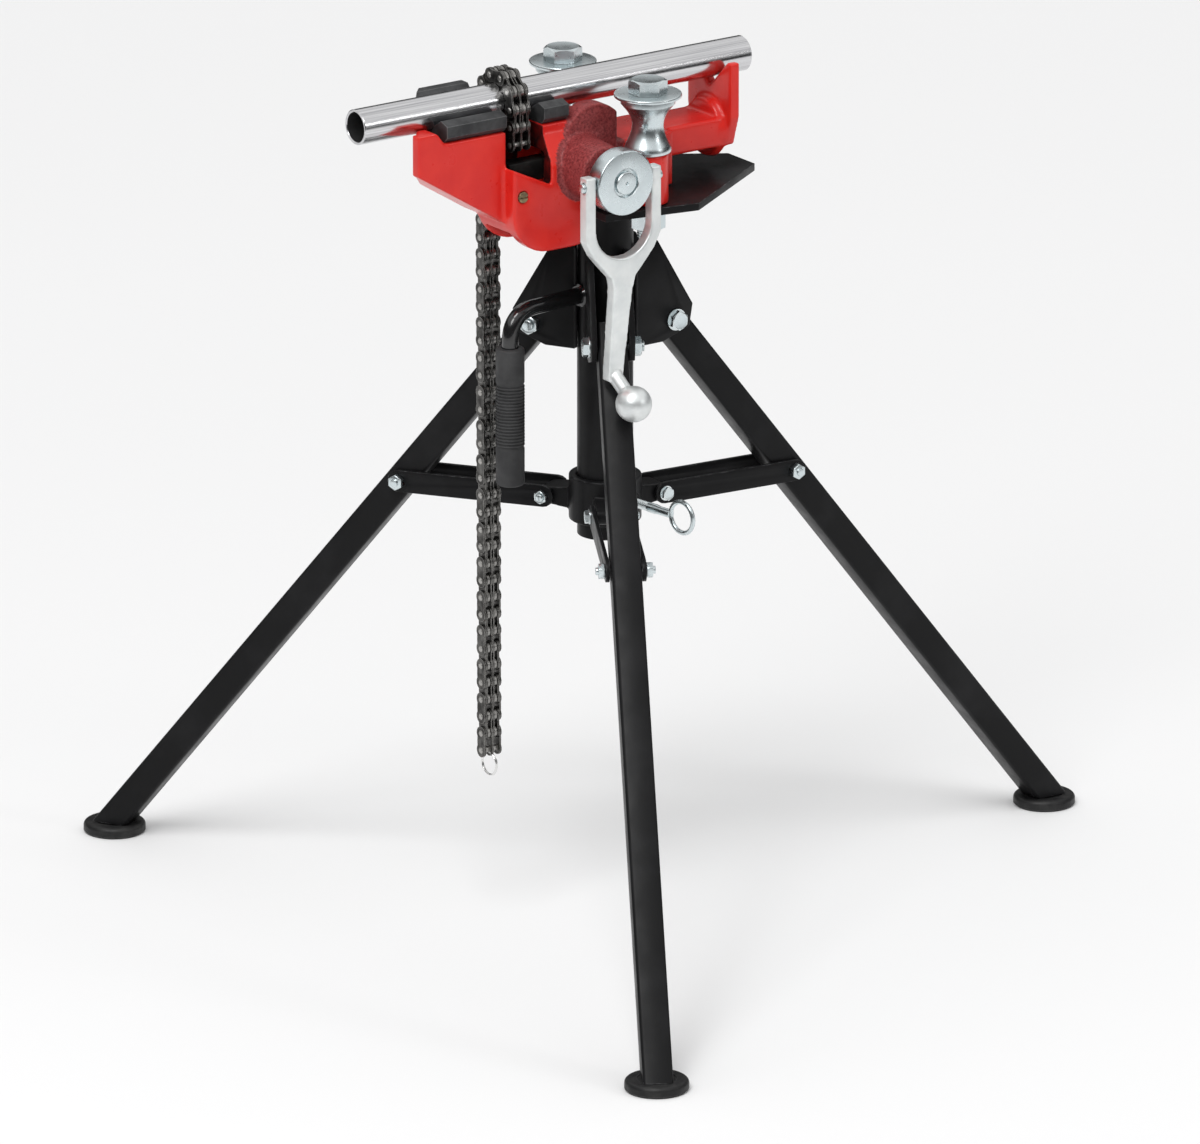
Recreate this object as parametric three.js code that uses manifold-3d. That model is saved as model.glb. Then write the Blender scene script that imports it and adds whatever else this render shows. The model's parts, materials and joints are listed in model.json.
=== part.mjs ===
// Folding tripod pipe stand with a crank-tightened chain vise, drawn as an
// assembly of separate pieces. Millimetres, +Z up, feet on Z = 0.
// The row frame: +X is the widest spread of the feet and the side the crank is
// on, +Y points along the clamped pipe towards the rear rest and the rear leg.
import * as THREE from 'three';
import { mergeVertices } from 'three/addons/utils/BufferGeometryUtils.js';
import Module from 'manifold-3d';

const wasm = await Module();
wasm.setup();

// ---- driving dimensions -------------------------------------------------
const GAP = 0.3; // clearance between pieces that touch

// stand
const FOOT_RADIUS = 590; // column axis to foot centre
const PAD_RADIUS = 34;
const PAD_HEIGHT = 12;
const LEG_SIZE = 32; // square tube
const LEG_WALL = 3;
const LEG_BEYOND_PIVOT = 22;
const PIVOT_RADIUS = 76; // column axis to leg pivot
const PIVOT_HEIGHT = 650;
const PIVOT_BOLT = 6; // bolt shank radius
const COLUMN_RADIUS = 30;
const COLUMN_WALL = 3;
const COLUMN_BOTTOM = 420;
const GUSSET_THICK = 6;
const GUSSET_INNER = LEG_SIZE / 2 + 1.2; // inner face from the leg's mid plane
const GUSSET_TOP = 742;
const GUSSET_BOTTOM = 628;
const GUSSET_REACH = 98; // column axis to its outer corner
const PIVOT_HEX = 19; // across flats
const PIVOT_HEAD = 8;

// sliding collar and braces
const COLLAR_MID = 462;
const COLLAR_HEIGHT = 50;
const COLLAR_RADIUS = 39;
const LUG_RADIUS = 64; // column axis to lug bolt
const LUG_HALF = 16;
const LUG_BOLT = 4;
const LUG_BOLT_HEIGHT = 458;
const BRACE_ALONG_LEG = 0.31; // share of the leg between pivot and foot
const BRACE_TALL = 24;
const BRACE_THICK = 4;
const BRACE_INNER = LEG_SIZE / 2 + 1.5;
const LUG_HEX = 13;
const LUG_HEAD = 6;
const BRACE_HEX = 15;
const BRACE_HEAD = 7;
const THUMB_AZIMUTH = 8;
const THUMB_HEIGHT = 464;
const THUMB_SHANK = 5;
const THUMB_RING_AT = 119; // column axis to ring centre
const THUMB_RING_RADIUS = 17;
const THUMB_WIRE = 2.6;

// top plate and vise base
const PLATE_TOP = 806;
const PLATE_THICK = 8;
const BASE_HALF = 40; // half width of the casting's spine
const LOBE_FACE = 58; // front face of the chain housing
const JAW_BOTTOM = 900;
const JAW_HALF = 42;

// workpiece pipe
const PIPE_HEIGHT = 923;
const PIPE_RADIUS = 19;
const PIPE_WALL = 3;
const PIPE_NEAR = -320;
const PIPE_FAR = 178;

// clamping chain
const CHAIN_Y = -132;
const CHAIN_WIDTH = 24;
const CHAIN_DEPTH = 16;
const CHAIN_INNER = PIPE_RADIUS + 0.8;
const CHAIN_LINE = CHAIN_INNER + CHAIN_DEPTH / 2;
const CHAIN_PITCH = 19.05;
const TAIL_LINKS = 12; // links in each hanging stretch
const TAIL_STRETCHES = 3;
const TAIL_TOP = 880; // height of the first free pin
const FRONT_RUN_END = 864; // lower end of the chain in its slot
const SLOT_HALF = 23;
const END_RING_RADIUS = 13;
const END_RING_WIRE = 1.8;
const END_RING_DROP = 16; // last pin down to the ring's centre

// bending rollers
const ROLLER_X = 78;
const ROLLER_BOTTOM = 862;
const ROLLER_HEIGHT = 60;
const ROLLER_BORE = 12.4;
const ROLLER_FOOT = 25;
const ROLLER_WAIST = 17;
const ROLLER_FLARE = 29;
const ROLLER_HEX = 36;
const ROLLER_HEAD = 15;
const ROLLER_NUT = 19;
const ROLLER_BOLT = 12;
const WASHER_RADIUS = 36;
const WASHER_THICK = 4;

// crank
const CRANK_Y = -66.5;
const CRANK_Z = 851;
const HUB_RADIUS = 35;
const HUB_BACK = 112;
const HUB_FACE = 133;
const HUB_MID = (HUB_BACK + HUB_FACE) / 2;
const FORK_DEPTH = 14;
const FORK_INNER = 36;
const FORK_OUTER = 48;
const SHANK_HALF = 12;
const BALL_RADIUS = 19.5;
const BALL_DROP = 239;
const BALL_OUT = 24;
const EYE_RISE = 11; // fork ends above the hinge
const THROAT_DROP = 47; // hinge down to the centre of the fork's round
const SHANK_START = 108;
const SHANK_END = 222;
const SHANK_LEAN = 15; // how far its lower end leans towards the column
const SHANK_END_HALF = 9;
const NECK_RADIUS = 8;
const HINGE_PIN = 5;
const SCREW_RADIUS = 10.5; // shaft behind the hub
const YOKE_LOW = 12; // sideways extent of the draw yoke
const YOKE_HIGH = 32;

// carry handle
const GRIP_X = 11;
const GRIP_Y = -131;
const GRIP_TOP = 652;
const GRIP_BOTTOM = 500;
const GRIP_RADIUS = 16;
const ROD_RADIUS = 9;
const ROD_HEIGHT = 690;
const ROD_BEND = 34;

// ---- materials ------------------------------------------------------------
const finishes = {
  black: { color: 0x222222, roughness: 0.45, metalness: 0.1 },
  red: { color: 0xd63b2f, roughness: 0.4, metalness: 0.1 },
  zinc: { color: 0xc8d7da, roughness: 0.3, metalness: 0.9 },
  steel: { color: 0x3e3e40, roughness: 0.5, metalness: 0.7 },
  chain: { color: 0x484846, roughness: 0.4, metalness: 0.9 },
  chrome: { color: 0xdcdcdc, roughness: 0.15, metalness: 1.0 },
  rubber: { color: 0x404040, roughness: 0.9, metalness: 0.0 },
};

// ---- helpers --------------------------------------------------------------
const radians = (degrees) => (degrees * Math.PI) / 180;

// A three.js geometry as a manifold solid.
function solid(geometry) {
  const bare = geometry.clone();
  bare.deleteAttribute('normal');
  bare.deleteAttribute('uv');
  const merged = mergeVertices(bare, 1e-4);
  return new wasm.Manifold(new wasm.Mesh({
    numProp: 3,
    vertProperties: new Float32Array(merged.attributes.position.array),
    triVerts: new Uint32Array(merged.index.array),
  }));
}

// A manifold solid as a three.js geometry.
function geometryOf(body) {
  const mesh = body.getMesh();
  const geometry = new THREE.BufferGeometry();
  geometry.setAttribute('position', new THREE.BufferAttribute(mesh.vertProperties, 3));
  geometry.setIndex(new THREE.BufferAttribute(mesh.triVerts, 1));
  geometry.computeVertexNormals();
  return geometry;
}

// Box from its lowest corner to its highest corner.
function block(low, high) {
  const size = high.map((value, axis) => value - low[axis]);
  const middle = high.map((value, axis) => (value + low[axis]) / 2);
  return solid(new THREE.BoxGeometry(...size).translate(...middle));
}

// Round bar between two points; the far end may have its own radius.
function bar(from, to, radius, sides = 24, endRadius = radius) {
  const start = new THREE.Vector3(...from);
  const along = new THREE.Vector3(...to).sub(start);
  const geometry = new THREE.CylinderGeometry(endRadius, radius, along.length(), sides);
  geometry.translate(0, along.length() / 2, 0);
  const turn = new THREE.Quaternion().setFromUnitVectors(new THREE.Vector3(0, 1, 0), along.clone().normalize());
  geometry.applyQuaternion(turn);
  geometry.translate(...from);
  return solid(geometry);
}

// Closed outline pushed straight along one axis. The outline's points are
// [y, z] for 'x', [x, z] for 'y' and [x, y] for 'z'.
function slab(points, axis, from, to) {
  const shape = new THREE.Shape(points.map(([a, b]) => new THREE.Vector2(a, b)));
  return solid(placeSlab(shape, axis, from, to));
}

function placeSlab(shape, axis, from, to) {
  const geometry = new THREE.ExtrudeGeometry(shape, { depth: to - from, bevelEnabled: false, curveSegments: 16 });
  geometry.translate(0, 0, from);
  if (axis === 'x') {
    geometry.applyMatrix4(new THREE.Matrix4().set(0, 0, 1, 0, 1, 0, 0, 0, 0, 1, 0, 0, 0, 0, 0, 1));
  }
  if (axis === 'y') {
    geometry.applyMatrix4(new THREE.Matrix4().set(1, 0, 0, 0, 0, 0, -1, 0, 0, 1, 0, 0, 0, 0, 0, 1));
    geometry.translate(0, from + to, 0);
  }
  return geometry;
}

// Points of an arc, in degrees, about a centre in the outline's plane.
function arc(cx, cy, radius, fromAngle, toAngle, steps = 8) {
  const points = [];
  for (let i = 0; i <= steps; i += 1) {
    const angle = radians(fromAngle + ((toAngle - fromAngle) * i) / steps);
    points.push([cx + radius * Math.cos(angle), cy + radius * Math.sin(angle)]);
  }
  return points;
}

// Hexagon prism along an axis, for bolt heads and nuts.
function hexagon(from, to, acrossFlats) {
  return bar(from, to, acrossFlats / Math.sqrt(3), 6);
}

// Bolt along local Y through two outer faces: shank, head and nut in one.
// Straight bar whose rectangular section changes from one level to another.
function tapered(high, highHalves, low, lowHalves) {
  const corners = ([x, y, z], [halfX, halfY]) => [
    [x - halfX, y - halfY, z], [x + halfX, y - halfY, z], [x + halfX, y + halfY, z], [x - halfX, y + halfY, z],
  ];
  return wasm.Manifold.hull([...corners(high, highHalves), ...corners(low, lowHalves)]);
}

function throughBolt(x, z, halfGrip, shank, acrossFlats, headTall) {
  const head = hexagon([x, -halfGrip - headTall, z], [x, -halfGrip, z], acrossFlats);
  const nut = hexagon([x, halfGrip, z], [x, halfGrip + headTall, z], acrossFlats);
  return bar([x, -halfGrip - 1, z], [x, halfGrip + headTall + 3, z], shank).add(head).add(nut);
}

// ---- scene ----------------------------------------------------------------
const assembly = new THREE.Group();
const aboutColumn = new THREE.Group(); // its origin is the column axis on the floor
aboutColumn.position.y = -FOOT_RADIUS / 4;
assembly.add(aboutColumn);

function place(name, body, finish, parent = aboutColumn) {
  const mesh = new THREE.Mesh(geometryOf(body), new THREE.MeshStandardMaterial(finishes[finish]));
  mesh.name = name;
  parent.add(mesh);
  return mesh;
}

// ---- column and top plate ---------------------------------------------------
function columnTube() {
  const top = PLATE_TOP - PLATE_THICK - GAP;
  const tube = bar([0, 0, COLUMN_BOTTOM], [0, 0, top], COLUMN_RADIUS, 48);
  return tube.subtract(bar([0, 0, COLUMN_BOTTOM - 1], [0, 0, top + 1], COLUMN_RADIUS - COLUMN_WALL, 48));
}

// Six-cornered plate: a nose over the rear leg and a straight front edge.
function topPlate() {
  const half = [[24, 178], [112, 42], [92, -64]];
  const mirrored = half.map(([x, y]) => [-x, y]).reverse();
  let plate = slab([...half, ...mirrored], 'z', PLATE_TOP - PLATE_THICK, PLATE_TOP);
  for (const side of [-1, 1]) {
    const x = side * ROLLER_X;
    plate = plate.subtract(bar([x, 0, PLATE_TOP - PLATE_THICK - 1], [x, 0, PLATE_TOP + 1], ROLLER_BOLT + GAP));
  }
  return plate;
}

place('column_tube', columnTube(), 'black');
place('top_plate', topPlate(), 'black');

// ---- legs, gussets and braces, one set on each of three azimuths -------------
const legs = [['rear', 90], ['front', -30], ['left', 210]];
const spread = Math.atan2(FOOT_RADIUS - PIVOT_RADIUS, PIVOT_HEIGHT - PAD_HEIGHT);
const legLength = Math.hypot(FOOT_RADIUS - PIVOT_RADIUS, PIVOT_HEIGHT - PAD_HEIGHT);
const braceRadius = PIVOT_RADIUS + BRACE_ALONG_LEG * (FOOT_RADIUS - PIVOT_RADIUS);
const braceHeight = PIVOT_HEIGHT - BRACE_ALONG_LEG * (PIVOT_HEIGHT - PAD_HEIGHT);

// Flat plate welded to the column that carries one side of a leg pivot.
function gusset(side) {
  const weld = Math.sqrt(COLUMN_RADIUS ** 2 - GUSSET_INNER ** 2) + 0.6;
  const outline = [
    [weld, GUSSET_TOP], [GUSSET_REACH - 46, GUSSET_TOP], [GUSSET_REACH, PIVOT_HEIGHT + 14],
    [GUSSET_REACH - 4, PIVOT_HEIGHT - 10], [GUSSET_REACH - 38, GUSSET_BOTTOM], [weld, GUSSET_BOTTOM],
  ];
  const near = side * GUSSET_INNER;
  const far = side * (GUSSET_INNER + GUSSET_THICK);
  const plate = slab(outline, 'y', Math.min(near, far), Math.max(near, far));
  const hole = bar([PIVOT_RADIUS, -60, PIVOT_HEIGHT], [PIVOT_RADIUS, 60, PIVOT_HEIGHT], PIVOT_BOLT + GAP);
  return plate.subtract(hole);
}

// Square tube with rounded corners, from above the pivot to the foot pad.
function legTube() {
  const half = LEG_SIZE / 2;
  const corner = 4;
  const outline = (inset) => [
    ...arc(half - corner, half - corner, corner - inset, 0, 90, 3),
    ...arc(-half + corner, half - corner, corner - inset, 90, 180, 3),
    ...arc(-half + corner, -half + corner, corner - inset, 180, 270, 3),
    ...arc(half - corner, -half + corner, corner - inset, 270, 360, 3),
  ];
  const bottom = -legLength - LEG_SIZE;
  const tube = slab(outline(0), 'z', bottom, LEG_BEYOND_PIVOT);
  const hollow = slab(outline(LEG_WALL), 'z', bottom - 1, LEG_BEYOND_PIVOT + 1);
  const hole = bar([0, -60, 0], [0, 60, 0], PIVOT_BOLT + GAP);
  const leg = tube.subtract(hollow).subtract(hole);
  const leaning = leg.rotate([0, (-spread * 180) / Math.PI, 0]).translate([PIVOT_RADIUS, 0, PIVOT_HEIGHT]);
  const reach = 2 * FOOT_RADIUS;
  return leaning.subtract(block([-reach, -reach, -reach], [reach, reach, PAD_HEIGHT + GAP]));
}

// Round foot with a softened upper edge.
function footPad() {
  const profile = [
    [0, 0], [PAD_RADIUS - 2, 0], [PAD_RADIUS, 2], [PAD_RADIUS, PAD_HEIGHT - 4],
    [PAD_RADIUS - 5, PAD_HEIGHT], [0, PAD_HEIGHT],
  ].map(([r, z]) => new THREE.Vector2(r, z));
  const turned = new THREE.LatheGeometry(profile, 40).rotateX(Math.PI / 2);
  return solid(turned.translate(FOOT_RADIUS, 0, 0));
}

// Flat bar with round ends from the lug bolt to the leg.
function braceBar(side) {
  const dx = braceRadius - LUG_RADIUS;
  const dz = braceHeight - LUG_BOLT_HEIGHT;
  const tilt = (Math.atan2(dz, dx) * 180) / Math.PI;
  const half = BRACE_TALL / 2;
  const outline = [
    ...arc(LUG_RADIUS, LUG_BOLT_HEIGHT, half, tilt + 90, tilt + 270, 8),
    ...arc(braceRadius, braceHeight, half, tilt - 90, tilt + 90, 8),
  ];
  const near = side * BRACE_INNER;
  const far = side * (BRACE_INNER + BRACE_THICK);
  const plate = slab(outline, 'y', Math.min(near, far), Math.max(near, far));
  const lugHole = bar([LUG_RADIUS, -60, LUG_BOLT_HEIGHT], [LUG_RADIUS, 60, LUG_BOLT_HEIGHT], LUG_BOLT + GAP);
  const legHole = bar([braceRadius, -60, braceHeight], [braceRadius, 60, braceHeight], LUG_BOLT + GAP);
  return plate.subtract(lugHole).subtract(legHole);
}

// Short bolt that holds one brace bar against the leg.
function braceBolt(side) {
  const face = side * (BRACE_INNER + BRACE_THICK + GAP);
  const shankEnd = side * (BRACE_INNER + GAP);
  const headEnd = face + side * BRACE_HEAD;
  const head = hexagon([braceRadius, face, braceHeight], [braceRadius, headEnd, braceHeight], BRACE_HEX);
  const shank = bar([braceRadius, shankEnd, braceHeight], [braceRadius, headEnd + side * 3, braceHeight], LUG_BOLT);
  return shank.add(head);
}

for (const [where, azimuth] of legs) {
  const radial = new THREE.Group(); // local +X points away from the column
  radial.rotation.z = radians(azimuth);
  aboutColumn.add(radial);
  for (const [side, label] of [[-1, 'a'], [1, 'b']]) {
    place(`gusset_${where}_${label}`, gusset(side), 'black', radial);
    place(`brace_${where}_${label}`, braceBar(side), 'black', radial);
    place(`brace_bolt_${where}_${label}`, braceBolt(side), 'zinc', radial);
  }
  place(`leg_${where}`, legTube(), 'black', radial);
  place(`foot_pad_${where}`, footPad(), 'rubber', radial);
  const pivotGrip = GUSSET_INNER + GUSSET_THICK + GAP;
  const pivot = throughBolt(PIVOT_RADIUS, PIVOT_HEIGHT, pivotGrip, PIVOT_BOLT, PIVOT_HEX, PIVOT_HEAD);
  place(`leg_pivot_${where}`, pivot, 'zinc', radial);
  const lugGrip = BRACE_INNER + BRACE_THICK + GAP;
  const lug = throughBolt(LUG_RADIUS, LUG_BOLT_HEIGHT, lugGrip, LUG_BOLT, LUG_HEX, LUG_HEAD);
  place(`lug_bolt_${where}`, lug, 'zinc', radial);
}

// ---- sliding collar and its thumb screw --------------------------------------
function turnedAboutColumn(body, azimuth) {
  return body.rotate([0, 0, azimuth]);
}

const collarLow = COLLAR_MID - COLLAR_HEIGHT / 2;
const collarHigh = COLLAR_MID + COLLAR_HEIGHT / 2;

function collar() {
  let body = bar([0, 0, collarLow], [0, 0, collarHigh], COLLAR_RADIUS, 48);
  for (const [, azimuth] of legs) {
    const tip = 9;
    const outline = [
      [COLUMN_RADIUS + 4, LUG_BOLT_HEIGHT + 12], [COLUMN_RADIUS + 4, LUG_BOLT_HEIGHT - 12],
      ...arc(LUG_RADIUS, LUG_BOLT_HEIGHT, tip, -70, 70, 8),
    ];
    const hole = bar([LUG_RADIUS, -60, LUG_BOLT_HEIGHT], [LUG_RADIUS, 60, LUG_BOLT_HEIGHT], LUG_BOLT + GAP);
    const lug = slab(outline, 'y', -LUG_HALF, LUG_HALF).subtract(hole);
    body = body.add(turnedAboutColumn(lug, azimuth));
  }
  const boss = bar([COLUMN_RADIUS + 4, 0, THUMB_HEIGHT], [COLLAR_RADIUS + 6, 0, THUMB_HEIGHT], 11);
  body = body.add(turnedAboutColumn(boss, THUMB_AZIMUTH));
  const threadEnd = COLLAR_RADIUS + 12;
  const thread = bar([COLUMN_RADIUS - 6, 0, THUMB_HEIGHT], [threadEnd, 0, THUMB_HEIGHT], THUMB_SHANK + GAP);
  body = body.subtract(turnedAboutColumn(thread, THUMB_AZIMUTH));
  return body.subtract(bar([0, 0, collarLow - 1], [0, 0, collarHigh + 1], COLUMN_RADIUS + 0.5, 48));
}

// Screw with a round wire ring for a head.
function thumbScrew() {
  const ringNear = THUMB_RING_AT - THUMB_RING_RADIUS;
  const shank = bar([COLUMN_RADIUS + 1, 0, THUMB_HEIGHT], [ringNear, 0, THUMB_HEIGHT], THUMB_SHANK, 16);
  const ring = new THREE.TorusGeometry(THUMB_RING_RADIUS, THUMB_WIRE, 10, 28);
  ring.rotateX(Math.PI / 2).translate(THUMB_RING_AT, 0, THUMB_HEIGHT);
  return turnedAboutColumn(shank.add(solid(ring)), THUMB_AZIMUTH);
}

place('collar', collar(), 'black');
place('thumb_screw', thumbScrew(), 'zinc');

// ---- vise base ------------------------------------------------------------------
// One casting: a bracket under the near jaw, a housing for the chain screw, a
// round boss for the crank shaft, two ears for the rollers and the rear rest.
const WING_NEAR = -267;
const WING_TOP = 912;
const WING_TIP_LOW = 868; // underside of the wing at its tip
const WING_CHEEK = 13; // the wing narrows to this thickness at its tip
const SPINE_LOW = 799;
const LOBE_NEAR = -158;
const LOBE_FAR = -40;
const LOBE_RADIUS = 46;
const LOBE_MID = 812;
const LOBE_TOP = 838; // edge of the chain slot
const BOSS_RADIUS = 34;
const BOSS_FACE = 98;
const BOSS_FACE_RADIUS = 31;
const HUMP_RADIUS = 39; // round shoulder between the boss and the rollers
const HUMP_Y = -44;
const HUMP_Z = 874;
const HUMP_FACE = 44;
const EAR_RADIUS = 22;
const ARM_LOW = 834;
const ARM_HIGH = 866;
const REST_Y = 135;
const REST_THICK = 12;
const REST_HALF = 40;
const REST_TOP = 926;
const SEAT_FLOOR = PLATE_TOP + GAP;
const FAR_JAW_END = -76;
const ANCHOR_X = 51.5; // slotted screw in the face of the housing
const ANCHOR_Y = -146;
const ANCHOR_Z = 831;
const ANCHOR_RADIUS = 6;

// Bracket with a sloping underside that carries the near jaw.
function wing() {
  const bed = JAW_BOTTOM - GAP;
  const outline = [
    [WING_NEAR, WING_TIP_LOW], [WING_NEAR, WING_TOP], [WING_NEAR + 24, WING_TOP], [WING_NEAR + 34, bed],
    [LOBE_FAR, bed], [LOBE_FAR, SEAT_FLOOR], [-64, SEAT_FLOOR], [-64, SPINE_LOW], [LOBE_NEAR + 2, SPINE_LOW],
  ];
  const beyond = WING_NEAR - 5;
  const cheek = BASE_HALF - WING_CHEEK;
  const outside = -BASE_HALF - 5;
  const offcut = [[outside, beyond], [cheek, beyond], [cheek, WING_NEAR + 5], [outside, WING_NEAR + 59]];
  return slab(outline, 'x', -BASE_HALF, BASE_HALF).subtract(slab(offcut, 'z', SPINE_LOW - 10, WING_TOP + 10));
}

// Chain housing: stands proud of the spine and has a round bottom.
function lobe() {
  const outline = [
    [LOBE_NEAR, LOBE_TOP + 24], ...arc(LOBE_NEAR + LOBE_RADIUS, LOBE_MID, LOBE_RADIUS, 180, 270, 8),
    ...arc(-78, LOBE_MID - 34, 12, 270, 360, 4), [-66, SEAT_FLOOR],
    [LOBE_FAR, SEAT_FLOOR], [LOBE_FAR, LOBE_TOP], [CHAIN_Y + SLOT_HALF + 1, LOBE_TOP],
  ];
  const housing = slab(outline, 'x', -BASE_HALF, LOBE_FACE);
  const inner = BASE_HALF - 4;
  const low = LOBE_TOP - 2;
  const facet = [[inner, JAW_BOTTOM - 2], [LOBE_FACE, LOBE_TOP + 20], [LOBE_FACE, low], [inner, low]];
  return housing.add(slab(facet, 'y', CHAIN_Y + SLOT_HALF, FAR_JAW_END));
}

// Round boss round the crank shaft with a higher round shoulder behind it.
function crankBoss() {
  const boss = bar([0, CRANK_Y + 4, CRANK_Z], [BOSS_FACE, CRANK_Y, CRANK_Z], BOSS_RADIUS, 40, BOSS_FACE_RADIUS);
  const hump = bar([PIPE_RADIUS + 3, HUMP_Y, HUMP_Z], [HUMP_FACE, HUMP_Y, HUMP_Z], HUMP_RADIUS, 40);
  const besideGap = block([0, -15, HUMP_Z - HUMP_RADIUS - 1], [HUMP_FACE + 1, 10, HUMP_Z + HUMP_RADIUS + 1]);
  return boss.add(hump.subtract(besideGap));
}

// Middle block that stands on the top plate, with an ear for each roller.
function seat() {
  let body = block([-BASE_HALF, -64, SEAT_FLOOR], [BASE_HALF, 60, ARM_HIGH]);
  for (const side of [-1, 1]) {
    const x = side * ROLLER_X;
    const ear = block([Math.min(0, x), -20, SEAT_FLOOR], [Math.max(0, x), 20, 846]);
    body = body.add(ear).add(bar([x, 0, SEAT_FLOOR], [x, 0, ROLLER_BOTTOM - GAP], EAR_RADIUS, 32));
  }
  return body;
}

// Arm to the rear rest and the upright plate with its V-shaped saddle.
function rearRest() {
  const arm = block([-30, 50, ARM_LOW], [30, REST_Y + 2, ARM_HIGH]);
  const outline = [
    [-REST_HALF, REST_TOP], [-REST_HALF, ARM_HIGH], [-30, ARM_LOW], [30, ARM_LOW], [REST_HALF, ARM_HIGH],
    [REST_HALF, REST_TOP], [REST_HALF - 8, REST_TOP], [0, REST_TOP - 31], [-REST_HALF + 8, REST_TOP],
  ];
  const upright = slab(outline, 'y', REST_Y, REST_Y + REST_THICK);
  const flangeMid = (ARM_LOW + ARM_HIGH) / 2;
  const flange = bar([0, REST_Y - 9, flangeMid], [0, REST_Y + 1, flangeMid], 31, 40, 34);
  return arm.add(upright).add(flange);
}

function viseBase() {
  let body = wing().add(lobe()).add(crankBoss()).add(seat()).add(rearRest());
  // slot for the chain on the crank side and open channel on the other side
  const slotNear = CHAIN_Y - SLOT_HALF;
  const slotFar = CHAIN_Y + SLOT_HALF;
  body = body.subtract(block([14, slotNear, LOBE_TOP], [LOBE_FACE - 8, slotFar, 940]));
  body = body.subtract(block([-60, slotNear, 740], [-14, slotFar, 940]));
  // room under the housing for the draw yoke
  body = body.subtract(block([-6, -150, 750], [BASE_HALF, -58, CRANK_Z + 20]));
  // clearance for the pipe above the boss
  const pipeRoom = bar([0, WING_NEAR - 5, PIPE_HEIGHT], [0, REST_Y + 20, PIPE_HEIGHT], PIPE_RADIUS + 1, 40);
  body = body.subtract(pipeRoom);
  // shaft, set screw and roller bolt holes
  body = body.subtract(bar([-60, CRANK_Y, CRANK_Z], [110, CRANK_Y, CRANK_Z], SCREW_RADIUS + 1));
  const anchorHole = bar([ANCHOR_X - 0.5, ANCHOR_Y, ANCHOR_Z], [70, ANCHOR_Y, ANCHOR_Z], ANCHOR_RADIUS + GAP);
  body = body.subtract(anchorHole);
  for (const side of [-1, 1]) {
    const x = side * ROLLER_X;
    body = body.subtract(bar([x, 0, 790], [x, 0, 880], ROLLER_BOLT + GAP));
  }
  return body;
}

place('vise_base', viseBase(), 'red');

// ---- jaws -------------------------------------------------------------------------
// V block: a short arm on the crank side and a taller one behind the pipe.
function jaw(near, far, armTop) {
  const foot = JAW_HALF - 6;
  const lip = JAW_HALF - 12;
  const outline = [
    [-foot, JAW_BOTTOM], [foot, JAW_BOTTOM], [JAW_HALF, JAW_BOTTOM + 6], [JAW_HALF, JAW_BOTTOM + 18],
    [lip, JAW_BOTTOM + 22], [0, JAW_BOTTOM + 3], [-lip, armTop], [-JAW_HALF, armTop], [-JAW_HALF, JAW_BOTTOM + 8],
  ];
  const body = slab(outline, 'y', near, far);
  return body.subtract(bar([0, near - 1, PIPE_HEIGHT], [0, far + 1, PIPE_HEIGHT], PIPE_RADIUS + GAP, 40));
}

// The wing's slanted tip is carried on across the corner of the near jaw.
const nearJawStart = WING_NEAR + 35;
const corner = [[-JAW_HALF - 5, nearJawStart - 8], [-10, nearJawStart - 8], [-JAW_HALF - 5, nearJawStart + 26]];
const cornerCut = slab(corner, 'z', JAW_BOTTOM - 10, JAW_BOTTOM + 50);
place('near_jaw', jaw(nearJawStart, CHAIN_Y - SLOT_HALF - 1, 938).subtract(cornerCut), 'steel');
place('far_jaw', jaw(CHAIN_Y + SLOT_HALF + 1, FAR_JAW_END, 928), 'steel');

// ---- slotted anchor screw -----------------------------------------------------------
function anchorScrew() {
  const face = LOBE_FACE + 0.6;
  const screw = bar([ANCHOR_X, ANCHOR_Y, ANCHOR_Z], [face, ANCHOR_Y, ANCHOR_Z], ANCHOR_RADIUS, 20);
  const reach = ANCHOR_RADIUS + 1;
  const slot = block([face - 1.6, ANCHOR_Y - reach, ANCHOR_Z - 1], [face + 1, ANCHOR_Y + reach, ANCHOR_Z + 1]);
  return screw.subtract(slot);
}

place('anchor_screw', anchorScrew(), 'zinc');

// ---- bending rollers ------------------------------------------------------------------
// Hourglass roller turned about its bolt.
function roller(x) {
  const low = ROLLER_BOTTOM;
  const top = low + ROLLER_HEIGHT;
  const profile = [[ROLLER_BORE, low], [ROLLER_FOOT, low], [ROLLER_FOOT, low + 6]];
  for (let i = 1; i <= 7; i += 1) {
    const share = i / 8;
    const radius = ROLLER_WAIST + (ROLLER_FOOT - ROLLER_WAIST) * (2 * share - 1) ** 2;
    profile.push([radius, low + 6 + share * (ROLLER_HEIGHT - 14)]);
  }
  profile.push([ROLLER_FLARE, top - 7], [ROLLER_FLARE, top], [ROLLER_BORE, top], [ROLLER_BORE, low]);
  const points = profile.map(([r, z]) => new THREE.Vector2(r, z));
  return solid(new THREE.LatheGeometry(points, 40).rotateX(Math.PI / 2).translate(x, 0, 0));
}

const washerLow = ROLLER_BOTTOM + ROLLER_HEIGHT + GAP;
const headLow = washerLow + WASHER_THICK + GAP;

function rollerBolt(x) {
  const shank = bar([x, 0, PLATE_TOP - 38], [x, 0, headLow + 1], ROLLER_BOLT - GAP, 32);
  return shank.add(hexagon([x, 0, headLow], [x, 0, headLow + ROLLER_HEAD], ROLLER_HEX));
}

function rollerWasher(x) {
  const disc = bar([x, 0, washerLow], [x, 0, washerLow + WASHER_THICK], WASHER_RADIUS, 48);
  return disc.subtract(bar([x, 0, washerLow - 1], [x, 0, washerLow + WASHER_THICK + 1], ROLLER_BOLT + GAP, 32));
}

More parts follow.
